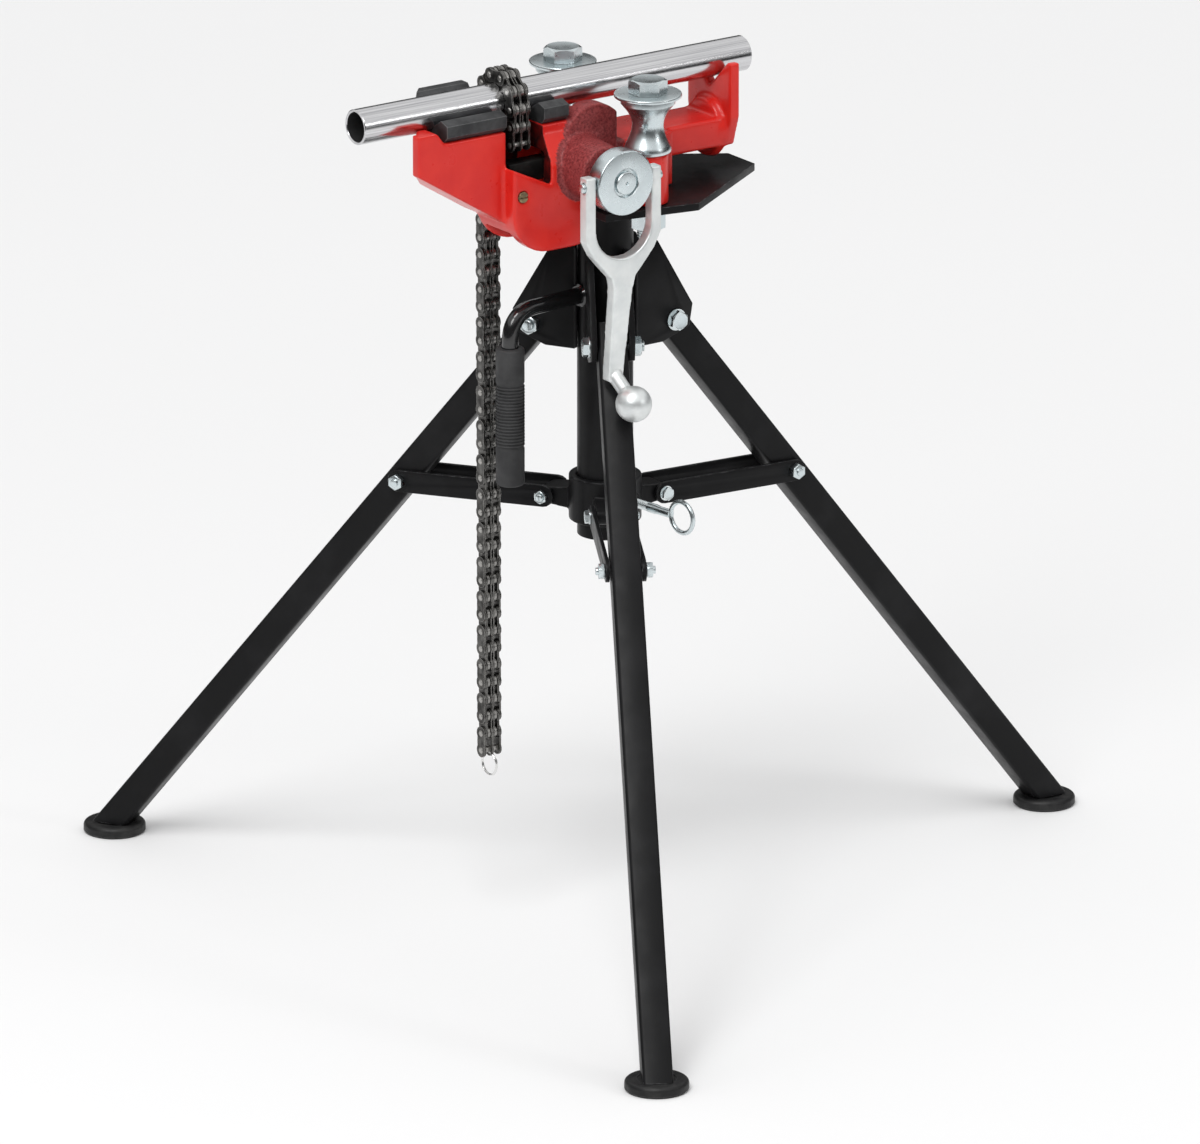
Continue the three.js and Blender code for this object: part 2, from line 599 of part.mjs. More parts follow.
function rollerNut(x) {
  const top = PLATE_TOP - PLATE_THICK - GAP;
  const nut = hexagon([x, 0, top - ROLLER_NUT], [x, 0, top], ROLLER_HEX);
  return nut.subtract(bar([x, 0, top - ROLLER_NUT - 1], [x, 0, top + 1], ROLLER_BOLT, 32));
}

for (const [where, x] of [['front', ROLLER_X], ['back', -ROLLER_X]]) {
  place(`bend_roller_${where}`, roller(x), 'zinc');
  place(`roller_washer_${where}`, rollerWasher(x), 'zinc');
  place(`roller_bolt_${where}`, rollerBolt(x), 'zinc');
  place(`roller_nut_${where}`, rollerNut(x), 'zinc');
}

// ---- crank ------------------------------------------------------------------------------
// Round bar through the hub and both fork arms.
function crosswise(reach, radius) {
  return bar([HUB_MID, CRANK_Y - reach, CRANK_Z], [HUB_MID, CRANK_Y + reach, CRANK_Z], radius, 24);
}

// Hub disc, its centre boss in a counterbore, and the screw behind it.
function crankHub() {
  let body = bar([HUB_BACK, CRANK_Y, CRANK_Z], [HUB_FACE, CRANK_Y, CRANK_Z], HUB_RADIUS, 40);
  body = body.add(bar([99, CRANK_Y, CRANK_Z], [HUB_BACK + 1, CRANK_Y, CRANK_Z], 20));
  body = body.add(bar([-58, CRANK_Y, CRANK_Z], [HUB_BACK + 1, CRANK_Y, CRANK_Z], SCREW_RADIUS));
  const recess = bar([HUB_FACE - 4, CRANK_Y, CRANK_Z], [HUB_FACE + 1, CRANK_Y, CRANK_Z], 15);
  const button = bar([HUB_FACE - 6, CRANK_Y, CRANK_Z], [HUB_FACE + 1.5, CRANK_Y, CRANK_Z], 12.5);
  body = body.subtract(recess).add(button);
  return body.subtract(crosswise(FORK_OUTER + 10, HINGE_PIN + GAP));
}

function hingePin() {
  return crosswise(FORK_OUTER + 3, HINGE_PIN);
}

// Two-armed fork, leaning shank, bent neck and ball.
function crankHandle() {
  const depth = FORK_DEPTH / 2;
  const eyeTop = CRANK_Z + EYE_RISE;
  const shape = [
    [FORK_OUTER, EYE_RISE], [FORK_OUTER, -60], [FORK_OUTER - 9, -77], [FORK_OUTER - 21, -91],
    [SHANK_HALF + 3, -104], [SHANK_HALF, -SHANK_START - 8],
  ];
  const right = shape.map(([across, rise]) => [CRANK_Y + across, CRANK_Z + rise]);
  const left = shape.map(([across, rise]) => [CRANK_Y - across, CRANK_Z + rise]).reverse();
  const throat = arc(CRANK_Y, CRANK_Z - THROAT_DROP, FORK_INNER, 180, 360, 14);
  const innerTops = [-FORK_INNER, FORK_INNER].map((across) => [CRANK_Y + across, eyeTop]);
  const outline = [...right, ...left, innerTops[0], ...throat, innerTops[1]];
  const shankTop = [HUB_MID, CRANK_Y, CRANK_Z - SHANK_START];
  const shankEnd = [HUB_MID - SHANK_LEAN, CRANK_Y, CRANK_Z - SHANK_END];
  const ball = [HUB_MID + BALL_OUT, CRANK_Y, CRANK_Z - BALL_DROP];
  const neckStart = [shankEnd[0] + 1, CRANK_Y, shankEnd[2] + NECK_RADIUS];
  return slab(outline, 'x', HUB_MID - depth, HUB_MID + depth)
    .add(tapered(shankTop, [depth, SHANK_HALF], shankEnd, [depth - 0.5, SHANK_END_HALF]))
    .add(bar(neckStart, ball, NECK_RADIUS, 20))
    .add(solid(new THREE.SphereGeometry(BALL_RADIUS, 28, 18).translate(...ball)))
    .subtract(crosswise(FORK_OUTER + 20, HINGE_PIN + GAP));
}

// Nut block that the screw draws sideways; its far end holds the chain pin.
function drawYoke() {
  const body = block([YOKE_LOW, -146, CRANK_Z - 13], [YOKE_HIGH, CRANK_Y + 6, CRANK_Z + 9]);
  const web = block([YOKE_LOW, CRANK_Y - 18, CRANK_Z - 18], [YOKE_HIGH, CRANK_Y + 7.5, CRANK_Z + 18]);
  const hole = bar([YOKE_LOW - 1, CRANK_Y, CRANK_Z], [YOKE_HIGH + 1, CRANK_Y, CRANK_Z], SCREW_RADIUS + GAP);
  return body.add(web).subtract(hole);
}

place('crank_hub', crankHub(), 'zinc');
place('crank_hinge_pin', hingePin(), 'zinc');
place('crank_handle', crankHandle(), 'zinc');
place('draw_yoke', drawYoke(), 'steel');

// ---- carry handle -------------------------------------------------------------------------
// Round rod that leaves the column, bends down and ends in the grip.
function handleRoute() {
  const toGrip = new THREE.Vector3(GRIP_X, GRIP_Y, 0);
  const start = new THREE.Vector3(0, -COLUMN_RADIUS - 0.4, ROD_HEIGHT);
  const corner = toGrip.clone().setZ(ROD_HEIGHT);
  const out = corner.clone().sub(start).normalize();
  const bendStart = corner.clone().sub(out.multiplyScalar(ROD_BEND));
  const bendEnd = toGrip.clone().setZ(ROD_HEIGHT - ROD_BEND);
  const end = toGrip.clone().setZ(GRIP_BOTTOM + 8);
  const route = new THREE.CurvePath();
  route.add(new THREE.LineCurve3(start, bendStart));
  route.add(new THREE.QuadraticBezierCurve3(bendStart, corner, bendEnd));
  route.add(new THREE.LineCurve3(bendEnd, end));
  return route;
}

function carryRod() {
  const section = new THREE.Shape(arc(0, 0, ROD_RADIUS, 0, 330, 11).map(([a, b]) => new THREE.Vector2(a, b)));
  const rod = new THREE.ExtrudeGeometry(section, { steps: 48, extrudePath: handleRoute() });
  return solid(rod);
}

function handleGrip() {
  const profile = [
    [ROD_RADIUS + GAP, GRIP_TOP], [ROD_RADIUS + GAP, GRIP_BOTTOM + 7], [0, GRIP_BOTTOM + 7], [0, GRIP_BOTTOM],
    [GRIP_RADIUS - 4, GRIP_BOTTOM], [GRIP_RADIUS, GRIP_BOTTOM + 4], [GRIP_RADIUS, GRIP_TOP - 4],
    [GRIP_RADIUS - 3, GRIP_TOP], [ROD_RADIUS + GAP, GRIP_TOP],
  ].map(([r, z]) => new THREE.Vector2(r, z));
  const turned = new THREE.LatheGeometry(profile, 32).rotateX(Math.PI / 2);
  return solid(turned.translate(GRIP_X, GRIP_Y, 0));
}

place('carry_rod', carryRod(), 'black');
place('handle_grip', handleGrip(), 'rubber');

// ---- clamping chain ---------------------------------------------------------------------------
// The stretch over the pipe: an arch with a straight end down each side.
function chainOverPipe() {
  const outerRadius = CHAIN_INNER + CHAIN_DEPTH;
  const outline = [
    ...arc(0, PIPE_HEIGHT, outerRadius, 0, 180, 20), [-outerRadius, TAIL_TOP + 4], [-CHAIN_INNER, TAIL_TOP + 4],
    ...arc(0, PIPE_HEIGHT, CHAIN_INNER, 180, 0, 20), [CHAIN_INNER, FRONT_RUN_END], [outerRadius, FRONT_RUN_END],
  ];
  return slab(outline, 'y', CHAIN_Y - CHAIN_WIDTH / 2, CHAIN_Y + CHAIN_WIDTH / 2);
}

// A hanging stretch between two pins, with round ends that clear each other.
function chainStretch(top) {
  const half = CHAIN_DEPTH / 2;
  const inset = 4 + half;
  const bottom = top - TAIL_LINKS * CHAIN_PITCH;
  const outline = [
    ...arc(-CHAIN_LINE, top - inset, half, 0, 180, 8), ...arc(-CHAIN_LINE, bottom + inset, half, 180, 360, 8),
  ];
  return slab(outline, 'y', CHAIN_Y - CHAIN_WIDTH / 2, CHAIN_Y + CHAIN_WIDTH / 2);
}

const tailBottom = TAIL_TOP - TAIL_STRETCHES * TAIL_LINKS * CHAIN_PITCH;

function endRing() {
  const ring = new THREE.TorusGeometry(END_RING_RADIUS, END_RING_WIRE, 8, 28).rotateX(Math.PI / 2);
  return solid(ring.translate(-CHAIN_LINE, CHAIN_Y, tailBottom - END_RING_DROP));
}

place('chain_over_pipe', chainOverPipe(), 'chain');
for (let i = 0; i < TAIL_STRETCHES; i += 1) {
  place(`chain_tail_${i + 1}`, chainStretch(TAIL_TOP - i * TAIL_LINKS * CHAIN_PITCH), 'chain');
}
place('chain_ring', endRing(), 'chrome');

// ---- workpiece pipe ---------------------------------------------------------------------------------
function workPipe() {
  const tube = bar([0, PIPE_NEAR, PIPE_HEIGHT], [0, PIPE_FAR, PIPE_HEIGHT], PIPE_RADIUS, 48);
  const bore = PIPE_RADIUS - PIPE_WALL;
  return tube.subtract(bar([0, PIPE_NEAR - 1, PIPE_HEIGHT], [0, PIPE_FAR + 1, PIPE_HEIGHT], bore, 48));
}

place('work_pipe', workPipe(), 'chrome');

export default assembly;
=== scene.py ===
"""Looks for a folding tripod pipe stand with a crank-tightened chain vise."""

import json
import math

import bmesh
import bpy
from mathutils import Matrix, Vector


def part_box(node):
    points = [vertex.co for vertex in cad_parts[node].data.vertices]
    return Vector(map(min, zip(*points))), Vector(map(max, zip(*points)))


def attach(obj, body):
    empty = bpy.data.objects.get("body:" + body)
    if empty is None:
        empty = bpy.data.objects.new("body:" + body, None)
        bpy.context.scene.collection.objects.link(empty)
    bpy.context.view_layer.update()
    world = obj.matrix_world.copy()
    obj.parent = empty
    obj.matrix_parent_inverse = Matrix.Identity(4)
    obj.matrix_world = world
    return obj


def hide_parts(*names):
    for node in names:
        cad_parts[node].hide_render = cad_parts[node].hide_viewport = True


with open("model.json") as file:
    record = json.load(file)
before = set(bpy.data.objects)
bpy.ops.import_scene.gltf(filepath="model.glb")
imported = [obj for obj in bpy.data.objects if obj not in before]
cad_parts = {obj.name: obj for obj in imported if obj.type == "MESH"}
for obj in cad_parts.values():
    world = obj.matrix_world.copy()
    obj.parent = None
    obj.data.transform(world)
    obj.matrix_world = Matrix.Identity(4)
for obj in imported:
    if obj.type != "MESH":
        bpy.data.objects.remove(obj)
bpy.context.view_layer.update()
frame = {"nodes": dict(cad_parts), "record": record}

MM = 0.001
LEGS = {"rear": 90, "front": -30, "left": 210}  # azimuth in degrees

# camera
VIEW_AZIMUTH = 54.8
VIEW_ELEVATION = 17.8
VIEW_DISTANCE = 16.0
LENS, SENSOR = 449, 36
AIM_HEIGHT, AIM_LEFT, AIM_UP = 0.368, 0.0055, 0.007

# studio
SKY_BANDS = [(0.0, 0.30), (0.12, 0.10), (0.30, 0.16), (0.42, 0.80), (0.75, 0.95), (1.0, 0.60)]
KEY_WATTS, SIDE_WATTS, SUN_STRENGTH, SUN_SPREAD = 42, 16, 1.05, 24
FLOOR_REACH = 60
WALL_RADIUS, WALL_LOW, WALL_HIGH = 2.3, 0.5, 1.6

# stand and its bolts
COLUMN_RADIUS = 30 * MM
TUBE_WALL = 3 * MM
PIVOT_BOLT = {"across": 19 * MM, "head": 8 * MM, "shank": 5.9 * MM, "half_grip": 23.6 * MM}
LUG_BOLT = {"across": 13 * MM, "head": 6 * MM, "shank": 3.9 * MM, "half_grip": 21.9 * MM}
HEX_SLOPE = 0.577  # fall of a bolt head's chamfer for each unit outwards, at 30 degrees

# carry handle
ROD_RADIUS = 9 * MM
ROD_BEND = 34 * MM
RIB_COUNT = 19
RIB_STEP = 3.55 * MM

# thumb screw
SCREW_AZIMUTH = 8
RING_AT, RING_RADIUS, RING_WIRE = 119 * MM, 17 * MM, 2.55 * MM
THREAD_START, NECK_START = 31.2 * MM, 69 * MM

# vise casting
CASTING_VOXEL, FORGING_VOXEL = 1.9 * MM, 1.2 * MM
HUMP_IN_FRONT, HUMP_HEIGHT, HUMP_RADIUS = 44 * MM, 874 * MM, 42 * MM
BOSS_RADIUS = 37.5 * MM
BOSS_FROM, BOSS_TO = 45 * MM, 104 * MM
HUMP_FROM, HUMP_TO = 19.5 * MM, 46.5 * MM
SLOT_HALF, SLOT_LOW, SLOT_FRONT = 23.6 * MM, 832 * MM, 54.5 * MM

# bending rollers
ROLLER_BORE, ROLLER_FOOT, ROLLER_FLARE, ROLLER_WAIST = 12.4 * MM, 25 * MM, 29 * MM, 17 * MM
ROLLER_BOLT, ROLLER_HEX, ROLLER_HEAD = 11.6 * MM, 36 * MM, 15 * MM

# crank hub
HUB_BACK, HUB_FACE, HUB_EDGE = 112 * MM, 133 * MM, 1.6 * MM

# chain
PITCH = 19.05 * MM
TAIL_LINKS = 12
PLATE_ROUND, PLATE_WAIST = 7.8 * MM, 6.7 * MM
PIN_RADIUS, PIN_REACH = 3.3 * MM, 11.9 * MM
ROLLER_RADIUS = 6.8 * MM
CHAIN_END = 866 * MM  # lowest height for a pin in the slot
OUTER_LEAVES = [(-10.9, -8.9), (-0.9, 0.9), (8.9, 10.9)]  # in mm across the chain
INNER_LEAVES = [(-8.7, -6.5), (-2.2, -1.1), (1.1, 2.2), (6.5, 8.7)]
LINK_ROLLERS = [(-6.3, -2.4), (2.4, 6.3)]


# ---- places taken from the frame ----


def ends_of(node):
    """Low and high corner of a CAD node's box."""
    low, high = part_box(node)
    return Vector(low), Vector(high)


def middle(node):
    """Centre of a CAD node's box."""
    low, high = ends_of(node)
    return (low + high) / 2


def on_circle(radius, angle):
    """Two coordinates on a circle round zero."""
    return radius * math.cos(angle), radius * math.sin(angle)


column = middle("column_tube")
pipe_low, pipe_high = ends_of("work_pipe")
pipe_centre = (pipe_low + pipe_high) / 2
PIPE_RADIUS = (pipe_high.z - pipe_low.z) / 2


# ---- camera, lights and floor ----


def aim(thing, place, target):
    thing.location = place
    thing.rotation_mode = "QUATERNION"
    thing.rotation_quaternion = (Vector(target) - Vector(place)).to_track_quat("-Z", "Y")


def make_camera():
    """Very long lens from the crank side, looking a little down."""
    azimuth, elevation = math.radians(VIEW_AZIMUTH), math.radians(VIEW_ELEVATION)
    back = Vector((
        math.sin(azimuth) * math.cos(elevation),
        -math.cos(azimuth) * math.cos(elevation),
        math.sin(elevation),
    ))
    right = Vector((math.cos(azimuth), math.sin(azimuth), 0))
    up = back.cross(right)
    target = Vector((column.x, column.y, AIM_HEIGHT)) - right * AIM_LEFT + up * AIM_UP
    data = bpy.data.cameras.new("camera")
    data.lens, data.sensor_width = LENS, SENSOR
    data.clip_end = 100
    camera = bpy.data.objects.new("camera", data)
    aim(camera, target + back * VIEW_DISTANCE, target)
    bpy.context.scene.collection.objects.link(camera)
    bpy.context.scene.camera = camera


def area_light(name, place, size, power, target=(0, -0.1, 0.6)):
    data = bpy.data.lights.new(name, "AREA")
    data.shape, data.size, data.energy = "DISK", size, power
    light = bpy.data.objects.new(name, data)
    aim(light, place, target)
    bpy.context.scene.collection.objects.link(light)


def make_sky():
    """Pale surroundings in level bands: dark near the horizon, bright above."""
    world = bpy.data.worlds.new("studio")
    world.use_nodes = True
    nodes, links = world.node_tree.nodes, world.node_tree.links
    sky = nodes["Background"]
    sky.inputs["Strength"].default_value = 1.0
    height = nodes.new("ShaderNodeSeparateXYZ")
    links.new(nodes.new("ShaderNodeTexCoord").outputs["Generated"], height.inputs["Vector"])
    wall = nodes.new("ShaderNodeValToRGB")
    links.new(height.outputs["Z"], wall.inputs["Fac"])
    links.new(wall.outputs["Color"], sky.inputs["Color"])
    ramp = wall.color_ramp.elements
    ramp.remove(ramp[0])
    first_place, first_level = SKY_BANDS[0]
    ramp[0].position = first_place
    ramp[0].color = (first_level, first_level, first_level, 1)
    for place, level in SKY_BANDS[1:]:
        ramp.new(place).color = (level, level, level, 1)
    bpy.context.scene.world = world


def make_floor():
    reach = FLOOR_REACH
    corners = [(-reach, -reach, 0), (reach, -reach, 0), (reach, reach, 0), (-reach, reach, 0)]
    mesh = bpy.data.meshes.new("floor")
    mesh.from_pydata(corners, [], [(0, 1, 2, 3)])
    floor = bpy.data.objects.new("floor", mesh)
    bpy.context.scene.collection.objects.link(floor)
    mesh.materials.append(Finish("studio_floor", colour=(0.84, 0.84, 0.842), roughness=0.9).material)


def make_dark_wall():
    """Low dark wall round the set; only bright metal and gloss paint see it."""
    steps = 96
    ring = [on_circle(WALL_RADIUS, math.tau * step / steps) for step in range(steps)]
    corners = [(x, y, WALL_LOW) for x, y in ring] + [(x, y, WALL_HIGH) for x, y in ring]
    faces = [(i, (i + 1) % steps, steps + (i + 1) % steps, steps + i) for i in range(steps)]
    mesh = bpy.data.meshes.new("dark_wall")
    mesh.from_pydata(corners, [], faces)
    wall = bpy.data.objects.new("dark_wall", mesh)
    bpy.context.scene.collection.objects.link(wall)
    mesh.materials.append(Finish("dark_wall_cloth", colour=(0.02, 0.02, 0.021), roughness=1.0).material)
    wall.visible_camera = wall.visible_diffuse = wall.visible_shadow = False


def make_studio():
    """Pale floor, pale surroundings and three broad soft lights."""
    scene = bpy.context.scene
    scene.view_settings.view_transform = "Standard"
    make_sky()
    area_light("key", (1.6, -3.2, 3.4), 1.5, KEY_WATTS)
    area_light("side", (3.6, 1.8, 2.0), 0.9, SIDE_WATTS)
    sun = bpy.data.lights.new("overhead", "SUN")
    sun.energy, sun.angle = SUN_STRENGTH, math.radians(SUN_SPREAD)
    overhead = bpy.data.objects.new("overhead", sun)
    aim(overhead, (1.2, -1.6, 4.0), (0, 0, 0))
    scene.collection.objects.link(overhead)
    make_floor()
    make_dark_wall()


# ---- finishes ----


class Finish:
    """One material and short ways to wire its nodes."""

    def __init__(self, name, colour, roughness, metallic=0.0):
        self.material = bpy.data.materials.new(name)
        self.material.use_nodes = True
        self.material.diffuse_color = (*colour, 1)
        self.tree = self.material.node_tree
        self.shader = self.tree.nodes["Principled BSDF"]
        self.colour = (*colour, 1)
        self.set("Base Color", self.colour)
        self.set("Roughness", roughness)
        self.set("Metallic", metallic)
        self.place = self.node("ShaderNodeTexCoord").outputs["Object"]

    def set(self, socket, value):
        self.shader.inputs[socket].default_value = value

    def node(self, kind, **settings):
        made = self.tree.nodes.new(kind)
        for key, value in settings.items():
            setattr(made, key, value)
        return made

    def link(self, output, socket):
        self.tree.links.new(output, socket)

    def noise(self, scale, detail=4, stretch=(1, 1, 1), roughness=0.55):
        """Noise on the object's own coordinates; scale is in cycles per metre."""
        mapping = self.node("ShaderNodeMapping")
        mapping.inputs["Scale"].default_value = stretch
        self.link(self.place, mapping.inputs["Vector"])
        noise = self.node("ShaderNodeTexNoise")
        noise.inputs["Scale"].default_value = scale
        noise.inputs["Detail"].default_value = detail
        noise.inputs["Roughness"].default_value = roughness
        self.link(mapping.outputs["Vector"], noise.inputs["Vector"])
        return noise.outputs["Fac"]

    def range(self, value, low, high, to_low, to_high):
        """Value moved from one range to another and clamped."""
        made = self.node("ShaderNodeMapRange", clamp=True)
        limits = {"From Min": low, "From Max": high, "To Min": to_low, "To Max": to_high}
        for socket, number in limits.items():
            made.inputs[socket].default_value = number
        self.link(value, made.inputs["Value"])
        return made.outputs["Result"]

    def math(self, operation, first, second):
        made = self.node("ShaderNodeMath", operation=operation)
        for index, value in enumerate((first, second)):
            if isinstance(value, (int, float)):
                made.inputs[index].default_value = value
            else:
                self.link(value, made.inputs[index])
        return made.outputs["Value"]

    def blend(self, share, first, second):
        """Colour between two colours or colour outputs."""
        made = self.node("ShaderNodeMix", data_type="RGBA")
        self.link(share, made.inputs["Factor"])
        for socket, value in zip((6, 7), (first, second)):
            if isinstance(value, tuple):
                made.inputs[socket].default_value = (*value[:3], 1)
            else:
                self.link(value, made.inputs[socket])
        return made.outputs[2]

    def edges(self, radius, sharp=0.12):
        """1 along outer edges, 0 elsewhere; used for worn edges, and on the black enamel also for a
        painted edge highlight.
        """
        bevel = self.node("ShaderNodeBevel", samples=4)
        bevel.inputs["Radius"].default_value = radius
        geometry = self.node("ShaderNodeNewGeometry")
        dot = self.node("ShaderNodeVectorMath", operation="DOT_PRODUCT")
        self.link(bevel.outputs["Normal"], dot.inputs[0])
        self.link(geometry.outputs["Normal"], dot.inputs[1])
        return self.range(dot.outputs["Value"], 1 - sharp, 1.0, 1.0, 0.0)

    def attribute(self, name):
        return self.node("ShaderNodeAttribute", attribute_name=name).outputs["Fac"]

    def paint(self, output):
        self.link(output, self.shader.inputs["Base Color"])

    def gloss(self, output):
        self.link(output, self.shader.inputs["Roughness"])

    def relief(self, height, distance, strength=1.0):
        """Small height change, in metres, in the surface."""
        made = self.node("ShaderNodeBump")
        made.inputs["Strength"].default_value = strength
        made.inputs["Distance"].default_value = distance
        self.link(height, made.inputs["Height"])
        self.link(made.outputs["Normal"], self.shader.inputs["Normal"])


def black_enamel():
    """Satin black stove enamel: faint orange peel; grey at the edges, partly rubbed wear and partly a
    painted highlight.
    """
    f = Finish("black_enamel", (0.012, 0.012, 0.0125), 0.34)
    dust = f.range(f.noise(14, 6), 0.48, 0.78, 0.0, 1.0)
    body = f.blend(dust, (0.0085, 0.0085, 0.009), (0.016, 0.016, 0.017))
    # painted highlight: the grey along the outer edges stands partly for thin bright edge highlights and
    # partly for rubbed wear
    chips_and_edge_highlight = f.math("MULTIPLY", f.edges(0.0010), f.range(f.noise(90, 5), 0.46, 0.62, 0.10, 1.0))
    f.paint(f.blend(chips_and_edge_highlight, body, (0.19, 0.19, 0.195)))
    f.gloss(f.range(f.noise(35, 5), 0.3, 0.7, 0.30, 0.44))
    f.relief(f.noise(750, 2), 0.00012, 0.45)
    f.set("Specular IOR Level", 0.11)
    return f.material


def gloss_enamel():
    """The same black enamel where hands have polished it."""
    f = Finish("gloss_enamel", (0.010, 0.010, 0.0105), 0.14)
    f.gloss(f.range(f.noise(40, 5), 0.3, 0.7, 0.10, 0.22))
    f.relief(f.noise(600, 2), 0.00008, 0.35)
    f.set("Coat Weight", 0.5)
    f.set("Coat Roughness", 0.06)
    return f.material


def red_enamel():
    """Bright red gloss over a casting; the as-cast round boss is painted darker as shade of its rough
    skin, and the chain slot is darkened with painted shade.
    """
    f = Finish("red_enamel", (0.68, 0.035, 0.022), 0.32)
    tone = f.range(f.noise(22, 5), 0.35, 0.7, 0.0, 1.0)
    smooth = f.blend(tone, (0.60, 0.013, 0.010), (0.69, 0.024, 0.015))
    grain = f.noise(420, 4, roughness=0.7)
    # painted shade: the as-cast boss and hump take a darker brown-red than the smooth red of the same
    # paint, darkest where the grain sinks in the bumps
    pit_shade = f.range(grain, 0.35, 0.65, 0.0, 1.0)
    shaded_cast_colour = f.blend(pit_shade, (0.13, 0.010, 0.012), (0.36, 0.060, 0.060))
    cast = f.attribute("as_cast")
    skin = f.blend(cast, smooth, shaded_cast_colour)
    worn = f.math("MULTIPLY", f.edges(0.0014), f.range(f.noise(60, 4), 0.42, 0.62, 0.1, 0.75))
    # painted shade: the inside of the chain slot is darkened to near black
    slot_shade = f.math("MULTIPLY", f.attribute("in_slot"), f.range(f.noise(70, 4), 0.3, 0.6, 0.82, 1.0))
    f.paint(f.blend(slot_shade, f.blend(worn, skin, (0.80, 0.16, 0.13)), (0.010, 0.004, 0.004)))
    f.gloss(f.math("ADD", f.range(f.noise(60, 4), 0.3, 0.7, 0.26, 0.38), f.math("MULTIPLY", cast, 0.22)))
    fine = f.math("MULTIPLY", f.noise(260, 3), 0.22)
    coarse = f.math("MULTIPLY", f.math("MULTIPLY", grain, cast), 3.0)
    f.relief(f.math("ADD", fine, coarse), 0.0006, 0.55)
    f.set("Specular IOR Level", 0.28)
    f.set("Coat Weight", 0.16)
    f.set("Coat Roughness", 0.16)
    return f.material


def bright_zinc():
    """Blue-white zinc plate with a faint mottle and rubbed edges."""
    f = Finish("bright_zinc", (0.62, 0.69, 0.71), 0.24, metallic=1.0)
    mottle = f.range(f.noise(45, 3), 0.3, 0.7, 0.0, 1.0)
    body = f.blend(mottle, (0.61, 0.68, 0.70), (0.67, 0.735, 0.75))
    f.paint(f.blend(f.edges(0.0010), body, (0.84, 0.87, 0.87)))
    f.gloss(f.range(f.noise(70, 3), 0.3, 0.7, 0.24, 0.32))
    f.relief(f.noise(500, 2), 0.000015, 0.3)
    return f.material


def forged_zinc():
    """Plated forging for the crank handle: paler and duller than the bolts."""
    f = Finish("forged_zinc", (0.78, 0.80, 0.79), 0.40, metallic=0.72)
    mottle = f.range(f.noise(40, 6), 0.3, 0.7, 0.0, 1.0)
    body = f.blend(mottle, (0.68, 0.71, 0.71), (0.84, 0.86, 0.85))
    f.paint(body)
    f.gloss(f.range(f.noise(90, 5), 0.3, 0.7, 0.34, 0.50))
    f.relief(f.noise(220, 4), 0.0003, 0.35)
    return f.material


def phosphated_steel():
    """Dark grey hardened steel for the jaws."""
    f = Finish("phosphated_steel", (0.055, 0.055, 0.058), 0.48, metallic=0.6)
    cloud = f.range(f.noise(60, 6), 0.35, 0.7, 0.0, 1.0)
    body = f.blend(cloud, (0.040, 0.041, 0.043), (0.085, 0.086, 0.088))
    f.paint(f.blend(f.edges(0.0010), body, (0.26, 0.26, 0.26)))
    f.gloss(f.range(f.noise(150, 4), 0.3, 0.7, 0.38, 0.58))
    f.relief(f.noise(380, 4), 0.0002, 0.5)
    return f.material


def oiled_chain():
    """Dark oiled chain steel, lighter at rubbed edges, with painted highlights on the pin ends and
    rollers.
    """
    f = Finish("oiled_chain", (0.13, 0.125, 0.12), 0.34, metallic=0.95)
    grime = f.range(f.noise(130, 5), 0.38, 0.68, 0.0, 1.0)
    body = f.blend(grime, (0.040, 0.038, 0.036), (0.15, 0.147, 0.140))
    # painted highlight: the pin ends, and the rollers less, are lightened as glints; the lighter edges
    # are rubbed wear
    rubbed_and_glint = f.math("MAXIMUM", f.edges(0.0007), f.math("MULTIPLY", f.attribute("pin_and_roller_glint"), 0.85))
    f.paint(f.blend(rubbed_and_glint, body, (0.46, 0.45, 0.43)))
    f.gloss(f.range(f.noise(300, 4), 0.3, 0.7, 0.24, 0.46))
    f.relief(f.noise(700, 3), 0.0001, 0.4)
    return f.material


def drawn_pipe():
    """Bright drawn tube: fine lines along its length."""
    f = Finish("drawn_pipe", (0.78, 0.78, 0.79), 0.14, metallic=1.0)
    lines = f.noise(900, 3, stretch=(1, 0.006, 1))
    tone = f.range(lines, 0.35, 0.65, 0.0, 1.0)
    f.paint(f.blend(tone, (0.50, 0.50, 0.515), (0.72, 0.72, 0.73)))
    f.gloss(f.range(f.noise(500, 3, stretch=(1, 0.01, 1)), 0.3, 0.7, 0.13, 0.27))
    f.relief(lines, 0.00004, 0.35)
    return f.material


def bronze_screw():
    """Yellow-passivated screw, dull in its slot."""
    f = Finish("bronze_screw", (0.30, 0.24, 0.13), 0.38, metallic=0.9)
    stain = f.range(f.noise(300, 4), 0.35, 0.7, 0.0, 1.0)
    f.paint(f.blend(stain, (0.34, 0.27, 0.15), (0.15, 0.12, 0.08)))
    f.gloss(f.range(f.noise(200, 4), 0.3, 0.7, 0.30, 0.5))
    f.relief(f.noise(500, 3), 0.0001, 0.4)
    return f.material


def bare_bore():
    """Dull dark inside of the pipe."""
    f = Finish("bare_bore", (0.03, 0.03, 0.031), 0.6, metallic=0.5)
    f.gloss(f.range(f.noise(300, 4), 0.3, 0.7, 0.5, 0.75))
    f.relief(f.noise(500, 4), 0.0003, 0.5)
    return f.material


